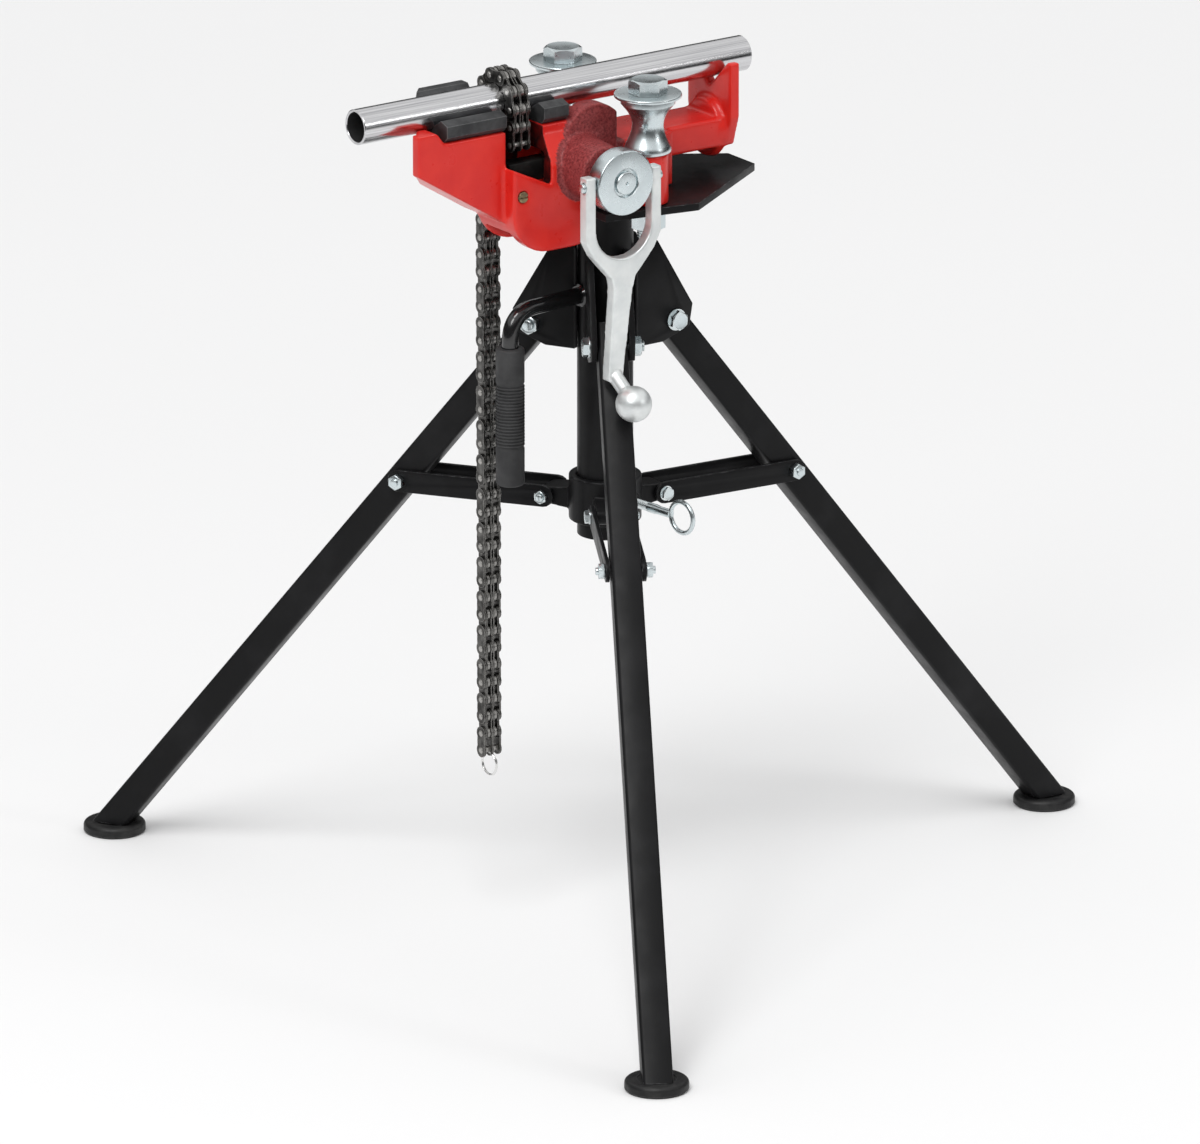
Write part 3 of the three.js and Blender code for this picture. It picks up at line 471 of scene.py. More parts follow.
def greased_steel():
    """Black greased block on the chain screw."""
    f = Finish("greased_steel", (0.006, 0.006, 0.006), 0.42)
    film = f.range(f.noise(90, 5), 0.35, 0.7, 0.0, 1.0)
    f.paint(f.blend(film, (0.004, 0.004, 0.004), (0.014, 0.013, 0.012)))
    f.gloss(f.range(f.noise(140, 4), 0.3, 0.7, 0.32, 0.60))
    f.relief(f.noise(400, 4), 0.0003, 0.5)
    f.set("Specular IOR Level", 0.2)
    return f.material


def bright_wire():
    """Polished nickel wire for the rings."""
    f = Finish("bright_wire", (0.80, 0.80, 0.79), 0.16, metallic=1.0)
    f.gloss(f.range(f.noise(200, 4), 0.3, 0.7, 0.12, 0.24))
    f.relief(f.noise(500, 2), 0.00005, 0.3)
    return f.material


def grip_rubber():
    """Matte dark moulded rubber, bloomed a little grey."""
    f = Finish("grip_rubber", (0.030, 0.030, 0.031), 0.68)
    bloom = f.range(f.noise(30, 6), 0.4, 0.75, 0.0, 1.0)
    f.paint(f.blend(bloom, (0.022, 0.022, 0.023), (0.048, 0.048, 0.049)))
    f.gloss(f.range(f.noise(80, 4), 0.3, 0.7, 0.58, 0.78))
    f.relief(f.noise(1100, 3), 0.00015, 0.5)
    return f.material


def pad_rubber():
    """Black foot pads, dusty at the rim."""
    f = Finish("pad_rubber", (0.03, 0.03, 0.031), 0.55)
    dust = f.range(f.noise(45, 6), 0.42, 0.7, 0.0, 1.0)
    body = f.blend(dust, (0.010, 0.010, 0.0105), (0.030, 0.0295, 0.029))
    f.paint(f.blend(f.edges(0.0015), body, (0.075, 0.075, 0.075)))
    f.gloss(f.range(f.noise(120, 4), 0.3, 0.7, 0.38, 0.58))
    f.set("Specular IOR Level", 0.3)
    f.relief(f.noise(500, 3), 0.0002, 0.5)
    return f.material


FINISH = {
    "black_paint": black_enamel(),
    "red_enamel": red_enamel(),
    "zinc_plate": bright_zinc(),
    "handle_zinc": forged_zinc(),
    "dark_steel": phosphated_steel(),
    "chain_steel": oiled_chain(),
    "pipe_chrome": drawn_pipe(),
    "bright_wire": bright_wire(),
    "grip_rubber": grip_rubber(),
    "pad_rubber": pad_rubber(),
}
BORE = bare_bore()
BRONZE = bronze_screw()
POLISHED_BLACK = gloss_enamel()
GREASED = greased_steel()
SLOT_OF = {part["node"]: part["material_slot"] for part in frame["record"]["subparts"]}
BODY_OF = {node: body for body, nodes in frame["record"]["behaviour"]["bodies"].items() for node in nodes}


# ---- ways to make meshes ----


def shown(name, mesh, body, slot, smooth):
    """A finished object that rides on a body."""
    mesh.name = name
    if not mesh.materials:
        mesh.materials.append(FINISH[slot])
    mesh.shade_smooth()
    mesh.set_sharp_from_angle(angle=math.radians(smooth))
    piece = bpy.data.objects.new(name, mesh)
    bpy.context.scene.collection.objects.link(piece)
    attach(piece, body)
    return piece


def piece_from(name, mesh, nodes, smooth=35):
    """A piece that stands for one or more CAD nodes."""
    piece = shown(name, mesh, BODY_OF[nodes[0]], SLOT_OF[nodes[0]], smooth)
    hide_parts(*nodes)


def welded_copy(node):
    """The CAD node's mesh with its triangles joined and its flat faces whole."""
    mesh = frame["nodes"][node].data.copy()
    mesh.materials.clear()
    work = bmesh.new()
    work.from_mesh(mesh)
    bmesh.ops.remove_doubles(work, verts=work.verts, dist=1e-5)
    bmesh.ops.dissolve_limit(work, angle_limit=math.radians(0.6), verts=work.verts, edges=work.edges)
    work.to_mesh(mesh)
    work.free()
    return mesh


def with_modifiers(mesh, *steps):
    """The mesh after a list of (kind, settings) modifiers, as a plain mesh."""
    carrier = bpy.data.objects.new("carrier", mesh)
    bpy.context.scene.collection.objects.link(carrier)
    for kind, settings in steps:
        modifier = carrier.modifiers.new(kind, kind)
        for key, value in settings.items():
            setattr(modifier, key, value)
    graph = bpy.context.evaluated_depsgraph_get()
    result = bpy.data.meshes.new_from_object(carrier.evaluated_get(graph))
    bpy.data.objects.remove(carrier)
    return result


def eased(mesh, width, segments=2, angle=30):
    """Edges sharper than the angle are rounded."""
    settings = {
        "width": width, "segments": segments, "limit_method": "ANGLE",
        "angle_limit": math.radians(angle), "harden_normals": False, "miter_outer": "MITER_ARC",
    }
    return with_modifiers(mesh, ("BEVEL", settings))


def eased_node(node, width=0.0009, segments=2, angle=32):
    """A CAD node with softened edges."""
    piece_from(f"{node}_body", eased(welded_copy(node), width, segments, angle), [node])


def cast_copy(node, voxel, rounds):
    """A CAD node with the soft edges of a casting or forging."""
    remesh = {"mode": "VOXEL", "voxel_size": voxel, "use_smooth_shade": True}
    smooth = {"factor": 0.5, "iterations": rounds}
    return with_modifiers(welded_copy(node), ("REMESH", remesh), ("SMOOTH", smooth))


def turned(profile, place, axis=(0, 0, 1), steps=64, closed=False):
    """Surface of revolution. The profile lists (radius, height) along the axis."""
    work = bmesh.new()
    turn = Vector((0, 0, 1)).rotation_difference(Vector(axis)).to_matrix().to_4x4()
    frame_matrix = Matrix.Translation(place) @ turn
    rings = []
    for radius, height in profile:
        if radius < 1e-7:
            rings.append([work.verts.new(frame_matrix @ Vector((0, 0, height)))])
            continue
        ring = []
        for step in range(steps):
            angle = math.tau * step / steps
            ring.append(work.verts.new(frame_matrix @ Vector((*on_circle(radius, angle), height))))
        rings.append(ring)
    pairs = list(zip(rings, rings[1:]))
    if closed:
        pairs.append((rings[-1], rings[0]))
    for first, second in pairs:
        bridge(work, first, second, steps)
    bmesh.ops.recalc_face_normals(work, faces=work.faces)
    mesh = bpy.data.meshes.new("turned")
    work.to_mesh(mesh)
    work.free()
    return mesh


def bridge(work, first, second, steps):
    """Faces between two rings, either of which may be a single point."""
    for step in range(steps):
        after = (step + 1) % steps
        lower = [first[step % len(first)], first[after % len(first)]]
        upper = [second[after % len(second)], second[step % len(second)]]
        corners = list(dict.fromkeys(lower + upper))
        if len(corners) > 2:
            work.faces.new(corners)


def round_over(radius, corner, start, end, steps=4):
    """Profile points of a rounded corner between two directions, in degrees."""
    points = []
    for step in range(steps + 1):
        angle = math.radians(start + (end - start) * step / steps)
        points.append((corner[0] + radius * math.cos(angle), corner[1] + radius * math.sin(angle)))
    return points


def tube(points, radius, sides=24, cyclic=False):
    """Round bar along a smooth path."""
    data = bpy.data.curves.new("path", "CURVE")
    data.dimensions = "3D"
    data.bevel_depth = radius
    data.bevel_resolution = sides // 4
    data.use_fill_caps = not cyclic
    spline = data.splines.new("POLY")
    spline.points.add(len(points) - 1)
    spline.use_cyclic_u = cyclic
    for target, point in zip(spline.points, points):
        target.co = (*point, 1)
    carrier = bpy.data.objects.new("path", data)
    bpy.context.scene.collection.objects.link(carrier)
    graph = bpy.context.evaluated_depsgraph_get()
    mesh = bpy.data.meshes.new_from_object(carrier.evaluated_get(graph))
    bpy.data.objects.remove(carrier)
    return mesh


def joined(*meshes):
    """Several meshes as one."""
    work = bmesh.new()
    for mesh in meshes:
        work.from_mesh(mesh)
    result = bpy.data.meshes.new("joined")
    work.to_mesh(result)
    work.free()
    return result


def hex_head(place, axis, across, tall, face_radius, sides=8):
    """Hexagon prism with the turned chamfer of a bolt head on its outer face."""
    steps = 6 * sides
    turn = Vector((0, 0, 1)).rotation_difference(Vector(axis)).to_matrix().to_4x4()
    matrix = Matrix.Translation(place) @ turn
    work = bmesh.new()
    levels = []
    for level in ("foot", "shoulder", "rim", "face"):
        ring = []
        for step in range(steps):
            angle = math.tau * step / steps
            flat = (angle % (math.tau / 6)) - math.tau / 12
            corner = across / 2 / math.cos(flat)
            drop = max(0.0, corner - face_radius) * HEX_SLOPE
            radius, height = {
                "foot": (corner, 0.0),
                "shoulder": (corner, tall - drop),
                "rim": (face_radius, tall),
                "face": (face_radius * 0.9, tall - 0.2 * MM),
            }[level]
            ring.append(work.verts.new(matrix @ Vector((*on_circle(radius, angle), height))))
        levels.append(ring)
    for first, second in zip(levels, levels[1:]):
        bridge(work, first, second, steps)
    work.faces.new(levels[0][::-1])
    work.faces.new(levels[-1])
    bmesh.ops.recalc_face_normals(work, faces=work.faces)
    mesh = bpy.data.meshes.new("hex_head")
    work.to_mesh(mesh)
    work.free()
    return mesh


def threaded(place, axis, radius, length, pitch, steps=20):
    """Screw thread as rings that rise and fall along the axis."""
    turns = max(2, round(length / pitch))
    profile = [(0, 0), (radius * 0.86, 0)]
    for turn in range(turns):
        base = turn * length / turns
        profile += [(radius * 0.86, base + 0.25 * length / turns), (radius, base + 0.5 * length / turns)]
        profile += [(radius, base + 0.62 * length / turns), (radius * 0.86, base + 0.9 * length / turns)]
    profile += [(radius * 0.8, length), (0, length)]
    return turned(profile, place, axis, steps)


# ---- node trees that repeat a shape ----


def tree_with_inputs(name, inputs):
    tree = bpy.data.node_groups.new(name, "GeometryNodeTree")
    tree.interface.new_socket("Geometry", in_out="INPUT", socket_type="NodeSocketGeometry")
    for label, kind in inputs:
        tree.interface.new_socket(label, in_out="INPUT", socket_type=kind)
    tree.interface.new_socket("Geometry", in_out="OUTPUT", socket_type="NodeSocketGeometry")
    return tree, tree.nodes.new("NodeGroupInput"), tree.nodes.new("NodeGroupOutput")


def end_tree(tree, instances, given, output):
    """Makes the instances real and gives them their finish."""
    real = tree.nodes.new("GeometryNodeRealizeInstances")
    finish = tree.nodes.new("GeometryNodeSetMaterial")
    tree.links.new(instances, real.inputs["Geometry"])
    tree.links.new(real.outputs["Geometry"], finish.inputs["Geometry"])
    tree.links.new(given.outputs["Finish"], finish.inputs["Material"])
    tree.links.new(finish.outputs["Geometry"], output.inputs["Geometry"])


def chain_tree():
    """Puts outer and inner links in turn on the edges of a line of pin centres."""
    inputs = [
        ("Outer Link", "NodeSocketObject"), ("Inner Link", "NodeSocketObject"),
        ("Finish", "NodeSocketMaterial"),
    ]
    tree, given, output = tree_with_inputs("links_on_pins", inputs)
    new, link = tree.nodes.new, tree.links.new
    ends = new("GeometryNodeInputMeshEdgeVertices")
    along = new("ShaderNodeVectorMath")
    along.operation = "SUBTRACT"
    link(ends.outputs["Position 2"], along.inputs[0])
    link(ends.outputs["Position 1"], along.inputs[1])
    keep = new("GeometryNodeCaptureAttribute")
    keep.domain = "EDGE"
    keep.capture_items.new("VECTOR", "Along")
    keep.capture_items.new("INT", "Order")
    link(given.outputs["Geometry"], keep.inputs["Geometry"])
    link(along.outputs["Vector"], keep.inputs["Along"])
    link(new("GeometryNodeInputIndex").outputs["Index"], keep.inputs["Order"])
    points = new("GeometryNodeMeshToPoints")
    points.mode = "EDGES"
    link(keep.outputs["Geometry"], points.inputs["Mesh"])
    both = new("GeometryNodeJoinGeometry")
    for label in ("Outer Link", "Inner Link"):
        shape = new("GeometryNodeObjectInfo")
        as_one = new("GeometryNodeGeometryToInstance")
        link(given.outputs[label], shape.inputs["Object"])
        link(shape.outputs["Geometry"], as_one.inputs["Geometry"])
        link(as_one.outputs["Instances"], both.inputs["Geometry"])
    parity = new("ShaderNodeMath")
    parity.operation = "MODULO"
    parity.inputs[1].default_value = 2
    link(keep.outputs["Order"], parity.inputs[0])
    turn = new("FunctionNodeAlignRotationToVector")
    turn.axis, turn.pivot_axis = "X", "Y"
    link(keep.outputs["Along"], turn.inputs["Vector"])
    place = new("GeometryNodeInstanceOnPoints")
    place.inputs["Pick Instance"].default_value = True
    link(points.outputs["Points"], place.inputs["Points"])
    link(both.outputs["Geometry"], place.inputs["Instance"])
    link(parity.outputs["Value"], place.inputs["Instance Index"])
    link(turn.outputs["Rotation"], place.inputs["Rotation"])
    end_tree(tree, place.outputs["Instances"], given, output)
    return tree


def row_tree():
    """Puts a shape at even steps along a straight line."""
    inputs = [
        ("Shape", "NodeSocketObject"), ("Count", "NodeSocketInt"), ("Start", "NodeSocketVector"),
        ("Step", "NodeSocketVector"), ("Finish", "NodeSocketMaterial"),
    ]
    tree, given, output = tree_with_inputs("shapes_in_a_row", inputs)
    new, link = tree.nodes.new, tree.links.new
    line = new("GeometryNodeMeshLine")
    line.mode = "OFFSET"
    link(given.outputs["Count"], line.inputs["Count"])
    link(given.outputs["Start"], line.inputs["Start Location"])
    link(given.outputs["Step"], line.inputs["Offset"])
    shape = new("GeometryNodeObjectInfo")
    link(given.outputs["Shape"], shape.inputs["Object"])
    place = new("GeometryNodeInstanceOnPoints")
    link(line.outputs["Mesh"], place.inputs["Points"])
    link(shape.outputs["Geometry"], place.inputs["Instance"])
    end_tree(tree, place.outputs["Instances"], given, output)
    return tree


def grown(tree, base, values):
    """Runs a tree on a base mesh with its named inputs and returns a plain mesh."""
    carrier = bpy.data.objects.new("carrier", base)
    bpy.context.scene.collection.objects.link(carrier)
    modifier = carrier.modifiers.new("tree", "NODES")
    modifier.node_group = tree
    for item in tree.interface.items_tree:
        if item.item_type == "SOCKET" and item.in_out == "INPUT" and item.name in values:
            modifier[item.identifier] = values[item.name]
    carrier.update_tag()
    graph = bpy.context.evaluated_depsgraph_get()
    result = bpy.data.meshes.new_from_object(carrier.evaluated_get(graph))
    bpy.data.objects.remove(carrier)
    return result


def shape_object(name, mesh):
    made = bpy.data.objects.new(name, mesh)
    bpy.context.scene.collection.objects.link(made)
    return made


# ---- stand ----


def make_column():
    low, high = ends_of("column_tube")
    radius = (high.x - low.x) / 2
    bore = radius - TUBE_WALL
    tall = high.z - low.z
    profile = [
        (bore, 0.5 * MM), (bore + 0.5 * MM, 0), (radius - 0.6 * MM, 0), (radius, 0.6 * MM),
        (radius, tall), (bore, tall),
    ]
    mesh = turned(profile, (column.x, column.y, low.z), steps=96, closed=True)
    piece_from("column", mesh, ["column_tube"])


def radial(azimuth, distance, side, height):
    """Point at a distance along an azimuth from the column, with a sideways step."""
    angle = math.radians(azimuth)
    x = distance * math.cos(angle) - side * math.sin(angle)
    y = distance * math.sin(angle) + side * math.cos(angle)
    return Vector((column.x + x, column.y + y, height))


def make_foot(where):
    low, high = ends_of(f"foot_pad_{where}")
    radius, tall = (high.x - low.x) / 2, high.z - low.z
    profile = [(0, 0), (radius - 2 * MM, 0), (radius, 2 * MM)]
    profile += round_over(5 * MM, (radius - 5 * MM, tall - 5 * MM), 0, 80, 6)
    profile += [(radius * 0.62, tall - 0.1 * MM), (radius * 0.6, tall - 1.2 * MM), (0, tall - 1.2 * MM)]
    base = Vector(((low.x + high.x) / 2, (low.y + high.y) / 2, low.z))
    piece_from(f"foot_{where}", turned(profile, base, steps=72), [f"foot_pad_{where}"])


def bolt_through(node, azimuth, across, head, shank, half_grip):
    """Hex bolt and nut on a sideways axis through a leg or lug."""
    angle = math.radians(azimuth)
    side = Vector((-math.sin(angle), math.cos(angle), 0))
    centre = centre_on(node, azimuth)
    head_side, nut_side = centre - side * half_grip, centre + side * half_grip
    bolt_head = hex_head(head_side, -side, across, head, across * 0.46)
    nut = hex_head(nut_side, side, across, head, across * 0.46)
    length = 2 * half_grip + head + 3.4 * MM
    rod = threaded(head_side - side * 0.5 * MM, side, shank, length, 1.5 * MM)
    rim, thick = across * 0.62, 1.2 * MM
    washer = turned([(0, 0), (rim, 0), (rim, thick), (0, thick)], head_side, -side, 32)
    piece_from(f"{node}_bolt", joined(bolt_head, nut, rod, washer), [node])


def centre_on(node, azimuth):
    """The node's middle moved onto the vertical plane of its azimuth."""
    centre = middle(node)
    angle = math.radians(azimuth)
    out = Vector((math.cos(angle), math.sin(angle), 0))
    offset = centre - Vector((column.x, column.y, centre.z))
    return Vector((column.x, column.y, centre.z)) + out * offset.dot(out)


def make_stand():
    make_column()
    eased_node("top_plate", 0.0012, 3)
    for where, azimuth in LEGS.items():
        make_foot(where)
        eased_node(f"leg_{where}", 0.0005, 1, 50)
        for side in "ab":
            eased_node(f"gusset_{where}_{side}", 0.0009, 2)
            eased_node(f"brace_{where}_{side}", 0.0008, 2)
            eased_node(f"brace_bolt_{where}_{side}", 0.0006, 2)
        bolt_through(f"leg_pivot_{where}", azimuth, **PIVOT_BOLT)
        bolt_through(f"lug_bolt_{where}", azimuth, **LUG_BOLT)
    piece_from("collar_sleeve", cast_copy("collar", FORGING_VOXEL, 6), ["collar"])


# ---- thumb screw and rings ----


def make_thumb_screw():
    """Ring-headed screw: bright wire ring on a threaded shank."""
    out = Vector((*on_circle(1, math.radians(SCREW_AZIMUTH)), 0))
    origin = Vector((column.x, column.y, middle("thumb_screw").z))
    path = []
    for step in range(48):
        along, up = on_circle(RING_RADIUS, math.tau * step / 48)
        path.append(origin + out * (RING_AT + along) + Vector((0, 0, up)))
    ring = tube(path, RING_WIRE, 24, cyclic=True)
    thread = threaded(origin + out * THREAD_START, out, 5 * MM, 38 * MM, 1.75 * MM)
    length = RING_AT - RING_RADIUS - NECK_START
    thick, thin = 5.4 * MM, 4.6 * MM
    profile = [(0, 0), (thick, 0), (thick, length * 0.3)]
    profile += [(thin, length * 0.5), (thin, length), (0, length)]
    neck = turned(profile, origin + out * NECK_START, out, 32)
    mesh = joined(ring, thread, neck)
    piece_from("ring_screw", mesh, ["thumb_screw"], smooth=50)


def make_chain_ring():
    """Split ring of two turns of wire."""
    centre = middle("chain_ring")
    radius, wire, turns = 13 * MM, 1.0 * MM, 2
    path = []
    steps = 40 * turns
    for step in range(steps + 1):
        angle = math.tau * turns * step / steps + 0.6
        shift = (step / steps - 0.5) * 1.9 * MM
        x, z = on_circle(radius, angle)
        path.append(centre + Vector((x, shift, z)))
    piece_from("split_ring", tube(path, wire, 12), ["chain_ring"], smooth=60)


# ---- vise base and jaws ----


def make_base():
    """The casting, with its as-cast boss and hump and its chain slot marked for the finish, which gives
    both painted shade.
    """
    mesh = cast_copy("vise_base", CASTING_VOXEL, 5)
    crank = middle("crank_hub")
    mark = mesh.attributes.new("as_cast", "FLOAT", "POINT")
    slot = mesh.attributes.new("in_slot", "FLOAT", "POINT")
    chain_y = middle("chain_over_pipe").y
    for vertex in mesh.vertices:
        x, y, z = vertex.co
        from_crank = math.hypot(y - crank.y, z - crank.z)
        from_hump = math.hypot(y - column.y + HUMP_IN_FRONT, z - HUMP_HEIGHT)
        on_boss = BOSS_FROM < x < BOSS_TO and from_crank < BOSS_RADIUS
        on_hump = HUMP_FROM < x < HUMP_TO and from_hump < HUMP_RADIUS and z > crank.z
        # the inside of the slot is marked for painted shade in the red finish
        in_slot = abs(y - chain_y) < SLOT_HALF and x < SLOT_FRONT and z > SLOT_LOW
        mark.data[vertex.index].value = 1 if on_boss or on_hump else 0
        slot.data[vertex.index].value = 1 if in_slot else 0
    piece_from("vise_casting", mesh, ["vise_base"], smooth=60)


def make_jaws():
    for node in ("near_jaw", "far_jaw"):
        eased_node(node, 0.0011, 3, 28)


def make_anchor_screw():
    mesh = eased(welded_copy("anchor_screw"), 0.0005, 2, 40)
    mesh.materials.append(BRONZE)
    piece_from("slotted_screw", mesh, ["anchor_screw"])


# ---- bending rollers ----


def make_roller(where):
    """Hourglass roller, its washer, bolt and nut."""
    low, high = ends_of(f"bend_roller_{where}")
    centre = Vector(((low.x + high.x) / 2, (low.y + high.y) / 2, low.z))
    tall = high.z - low.z
    lip = 1.5 * MM
    profile = [(ROLLER_BORE, 0), (ROLLER_FOOT - lip, 0)]
    profile += round_over(lip, (ROLLER_FOOT - lip, lip), -90, 0)
    profile.append((ROLLER_FOOT, 5.5 * MM))
    for step in range(1, 16):
        share = step / 16
        edge = ROLLER_FOOT + (ROLLER_FLARE - ROLLER_FOOT) * share
        radius = ROLLER_WAIST + (edge - ROLLER_WAIST) * abs(2 * share - 1) ** 1.9
        profile.append((radius, 6 * MM + share * (tall - 13 * MM)))
    profile += [(ROLLER_FLARE, tall - 6.5 * MM)]
    profile += round_over(lip, (ROLLER_FLARE - lip, tall - lip), 0, 90)
    profile += [(ROLLER_BORE, tall)]
    roller = turned(profile, centre, steps=96, closed=True)
    piece_from(f"roller_{where}", roller, [f"bend_roller_{where}"])
    make_roller_fittings(where, centre)


def make_roller_fittings(where, centre):
    low, high = ends_of(f"roller_washer_{where}")
    radius, thick = (high.x - low.x) / 2, high.z - low.z
    edge = 1.2 * MM
    profile = [(12.3 * MM, 0), (radius - edge, 0)]
    profile += round_over(edge, (radius - edge, edge), -90, 0)
    profile += round_over(edge, (radius - edge, thick - edge), 0, 90)
    profile.append((12.3 * MM, thick))
    washer = turned(profile, (centre.x, centre.y, low.z), steps=96, closed=True)
    piece_from(f"washer_{where}", washer, [f"roller_washer_{where}"])
    foot, top = (end.z for end in ends_of(f"roller_bolt_{where}"))
    face = 16.9 * MM
    head_place = (centre.x, centre.y, top - ROLLER_HEAD)
    head = hex_head(head_place, (0, 0, 1), ROLLER_HEX, ROLLER_HEAD, face)
    shank = threaded((centre.x, centre.y, foot), (0, 0, 1), ROLLER_BOLT, 48 * MM, 3 * MM, 40)
    rod_foot = foot + 47.5 * MM
    length = top - ROLLER_HEAD + 0.2 * MM - rod_foot
    rod_profile = [(0, 0), (ROLLER_BOLT, 0), (ROLLER_BOLT, length), (0, length)]
    rod = turned(rod_profile, (centre.x, centre.y, rod_foot), steps=40)
    piece_from(f"bolt_{where}", joined(head, shank, rod), [f"roller_bolt_{where}"])
    nut_low, nut_top = (end.z for end in ends_of(f"roller_nut_{where}"))
    nut = hex_head((centre.x, centre.y, nut_top), (0, 0, -1), ROLLER_HEX, nut_top - nut_low, face)
    piece_from(f"nut_{where}", nut, [f"roller_nut_{where}"])


# ---- crank ----


def hub_profile(start, radius):
    """Screw, neck, disc and centre button, as (radius, distance along the screw)."""
    screw, neck, edge, back, face = 10.5 * MM, 20 * MM, HUB_EDGE, HUB_BACK, HUB_FACE
    shoulder, relief, button = 99 * MM, 4 * MM, 1.4 * MM
    profile = [(0, start), (screw, start), (screw, shoulder), (neck - MM, shoulder)]
    profile += [(neck, shoulder + MM), (neck, back), (radius - edge, back)]
    profile += round_over(edge, (radius - edge, back + edge), -90, 0)
    profile += round_over(edge, (radius - edge, face - edge), 0, 90)
    profile += [(16.2 * MM, face), (15.4 * MM, face - 0.8 * MM)]
    profile += [(15.2 * MM, face - relief), (12.7 * MM, face - relief)]
    profile += [(12.5 * MM, face + 0.2 * MM), (11.6 * MM, face + 1.2 * MM), (10.4 * MM, face + button)]
    profile += [(2.2 * MM, face + button), (1.2 * MM, face - 0.6 * MM), (0, face - 1.0 * MM)]
    return profile


def make_crank():
    """Hub disc with its centre button, hinge pin, draw yoke and fork handle."""
    low, high = ends_of("crank_hub")
    centre = (0, (low.y + high.y) / 2, (low.z + high.z) / 2)
    hub = turned(hub_profile(low.x, (high.z - low.z) / 2), centre, (1, 0, 0), 96)
    piece_from("crank_hub_disc", hub, ["crank_hub"])
    eased_node("crank_hinge_pin", 0.0008, 2, 40)
    yoke = eased(welded_copy("draw_yoke"), 0.0010, 2, 32)
    yoke.materials.append(GREASED)
    piece_from("draw_yoke_body", yoke, ["draw_yoke"])
    piece_from("crank_fork", cast_copy("crank_handle", FORGING_VOXEL, 5), ["crank_handle"], smooth=70)


# ---- carry handle ----


def handle_rod(grip, grip_low, height):
    """Rod from the column, bent down into the grip, with its weld flange."""
    start = Vector((column.x, column.y - COLUMN_RADIUS - 0.6 * MM, height))
    corner = Vector((grip.x, grip.y, height))
    out = (corner - start).normalized()
    first, last = corner - out * ROD_BEND, corner - Vector((0, 0, ROD_BEND))
    path = [start]
    for step in range(17):
        share = step / 16
        path.append(first * (1 - share) ** 2 + corner * 2 * share * (1 - share) + last * share ** 2)
    path.append(Vector((grip.x, grip.y, grip_low.z + 8.2 * MM)))
    rim, thick = 12.5 * MM, 4.6 * MM
    flange = [(ROD_RADIUS, 0), (rim, 0), (rim, thick - 2 * MM)]
    flange += [(rim - 2 * MM, thick), (ROD_RADIUS, thick)]
    mesh = joined(
        tube(path, ROD_RADIUS, 32),
        turned(flange, start + out * 1.6 * MM, out, 40, closed=True),
    )
    mesh.materials.append(POLISHED_BLACK)
    return mesh


def grip_sleeve(grip, grip_low, tall, outer, waist):
    """Rubber sleeve, a little thinner where the ribs are."""
    profile = [(0, 0)] + round_over(4 * MM, (outer - 4 * MM, 4 * MM), -90, 0, 6)
    profile += [(outer, 41 * MM), (waist, 43 * MM), (waist, 112 * MM), (outer, 114 * MM)]
    profile += round_over(3 * MM, (outer - 3 * MM, tall - 3 * MM), 0, 90, 6)
    bore = ROD_RADIUS + 0.3 * MM
    profile += [(bore, tall), (bore, 8 * MM), (0, 8 * MM)]
    return turned(profile, (grip.x, grip.y, grip_low.z), steps=64)


def make_carry_handle():
    """Bent rod on a small flange with a ribbed rubber grip."""
    grip_low, grip_high = ends_of("handle_grip")
    grip = (grip_low + grip_high) / 2
    rod_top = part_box("carry_rod")[1][2]
    rod = handle_rod(grip, grip_low, rod_top - ROD_RADIUS)
    piece_from("carry_handle", rod, ["carry_rod"], smooth=40)
    outer = (grip_high.x - grip_low.x) / 2 - 0.6 * MM
    waist = outer - 1.1 * MM
    sleeve = grip_sleeve(grip, grip_low, grip_high.z - grip_low.z, outer, waist)
    root = waist - 0.5 * MM
    crest = round_over(1.0 * MM, (outer - 0.7 * MM, 0), -90, 90, 6)
    rib = turned([(root, -1.0 * MM), *crest, (root, 1.0 * MM)], (0, 0, 0), steps=64, closed=True)
    shape = shape_object("grip_rib", rib)
    values = {
        "Shape": shape, "Count": RIB_COUNT, "Start": (grip.x, grip.y, grip_low.z + 45.5 * MM),
        "Step": (0, 0, RIB_STEP), "Finish": FINISH["grip_rubber"],
    }
    ribs = grown(row_tree(), bpy.data.meshes.new("empty"), values)
    bpy.data.objects.remove(shape)
    piece_from("rubber_grip", joined(sleeve, ribs), ["handle_grip"], smooth=50)


# ---- chain ----


def link_plate(work, inner, outer):
    """Waisted side plate between two distances from the chain's middle."""
    outline = []
    half = PITCH / 2
    for centre, start in ((half, -125), (-half, 55)):
        for step in range(11):
            angle = math.radians(start + 25 * step)
            along, up = on_circle(PLATE_ROUND, angle)
            outline.append((centre + along, up))
        outline.append((0, PLATE_WAIST if centre > 0 else -PLATE_WAIST))
    sides = []
    for distance in (inner, outer):
        sides.append([work.verts.new((x, distance, z)) for x, z in outline])
    count = len(outline)
    work.faces.new(sides[0])
    work.faces.new(sides[1][::-1])
    for step in range(count):
        after = (step + 1) % count
        work.faces.new((sides[0][step], sides[1][step], sides[1][after], sides[0][after]))


def chain_pin(x):
    """Pin with a chamfered end on each side."""
    end, chamfer = PIN_REACH, 0.8 * MM
    face = PIN_RADIUS - 0.9 * MM
    profile = [(0, -end), (face, -end), (PIN_RADIUS, chamfer - end)]
    profile += [(PIN_RADIUS, end - chamfer), (face, end), (0, end)]
    return turned(profile, (x, 0, 0), (0, 1, 0), 14)


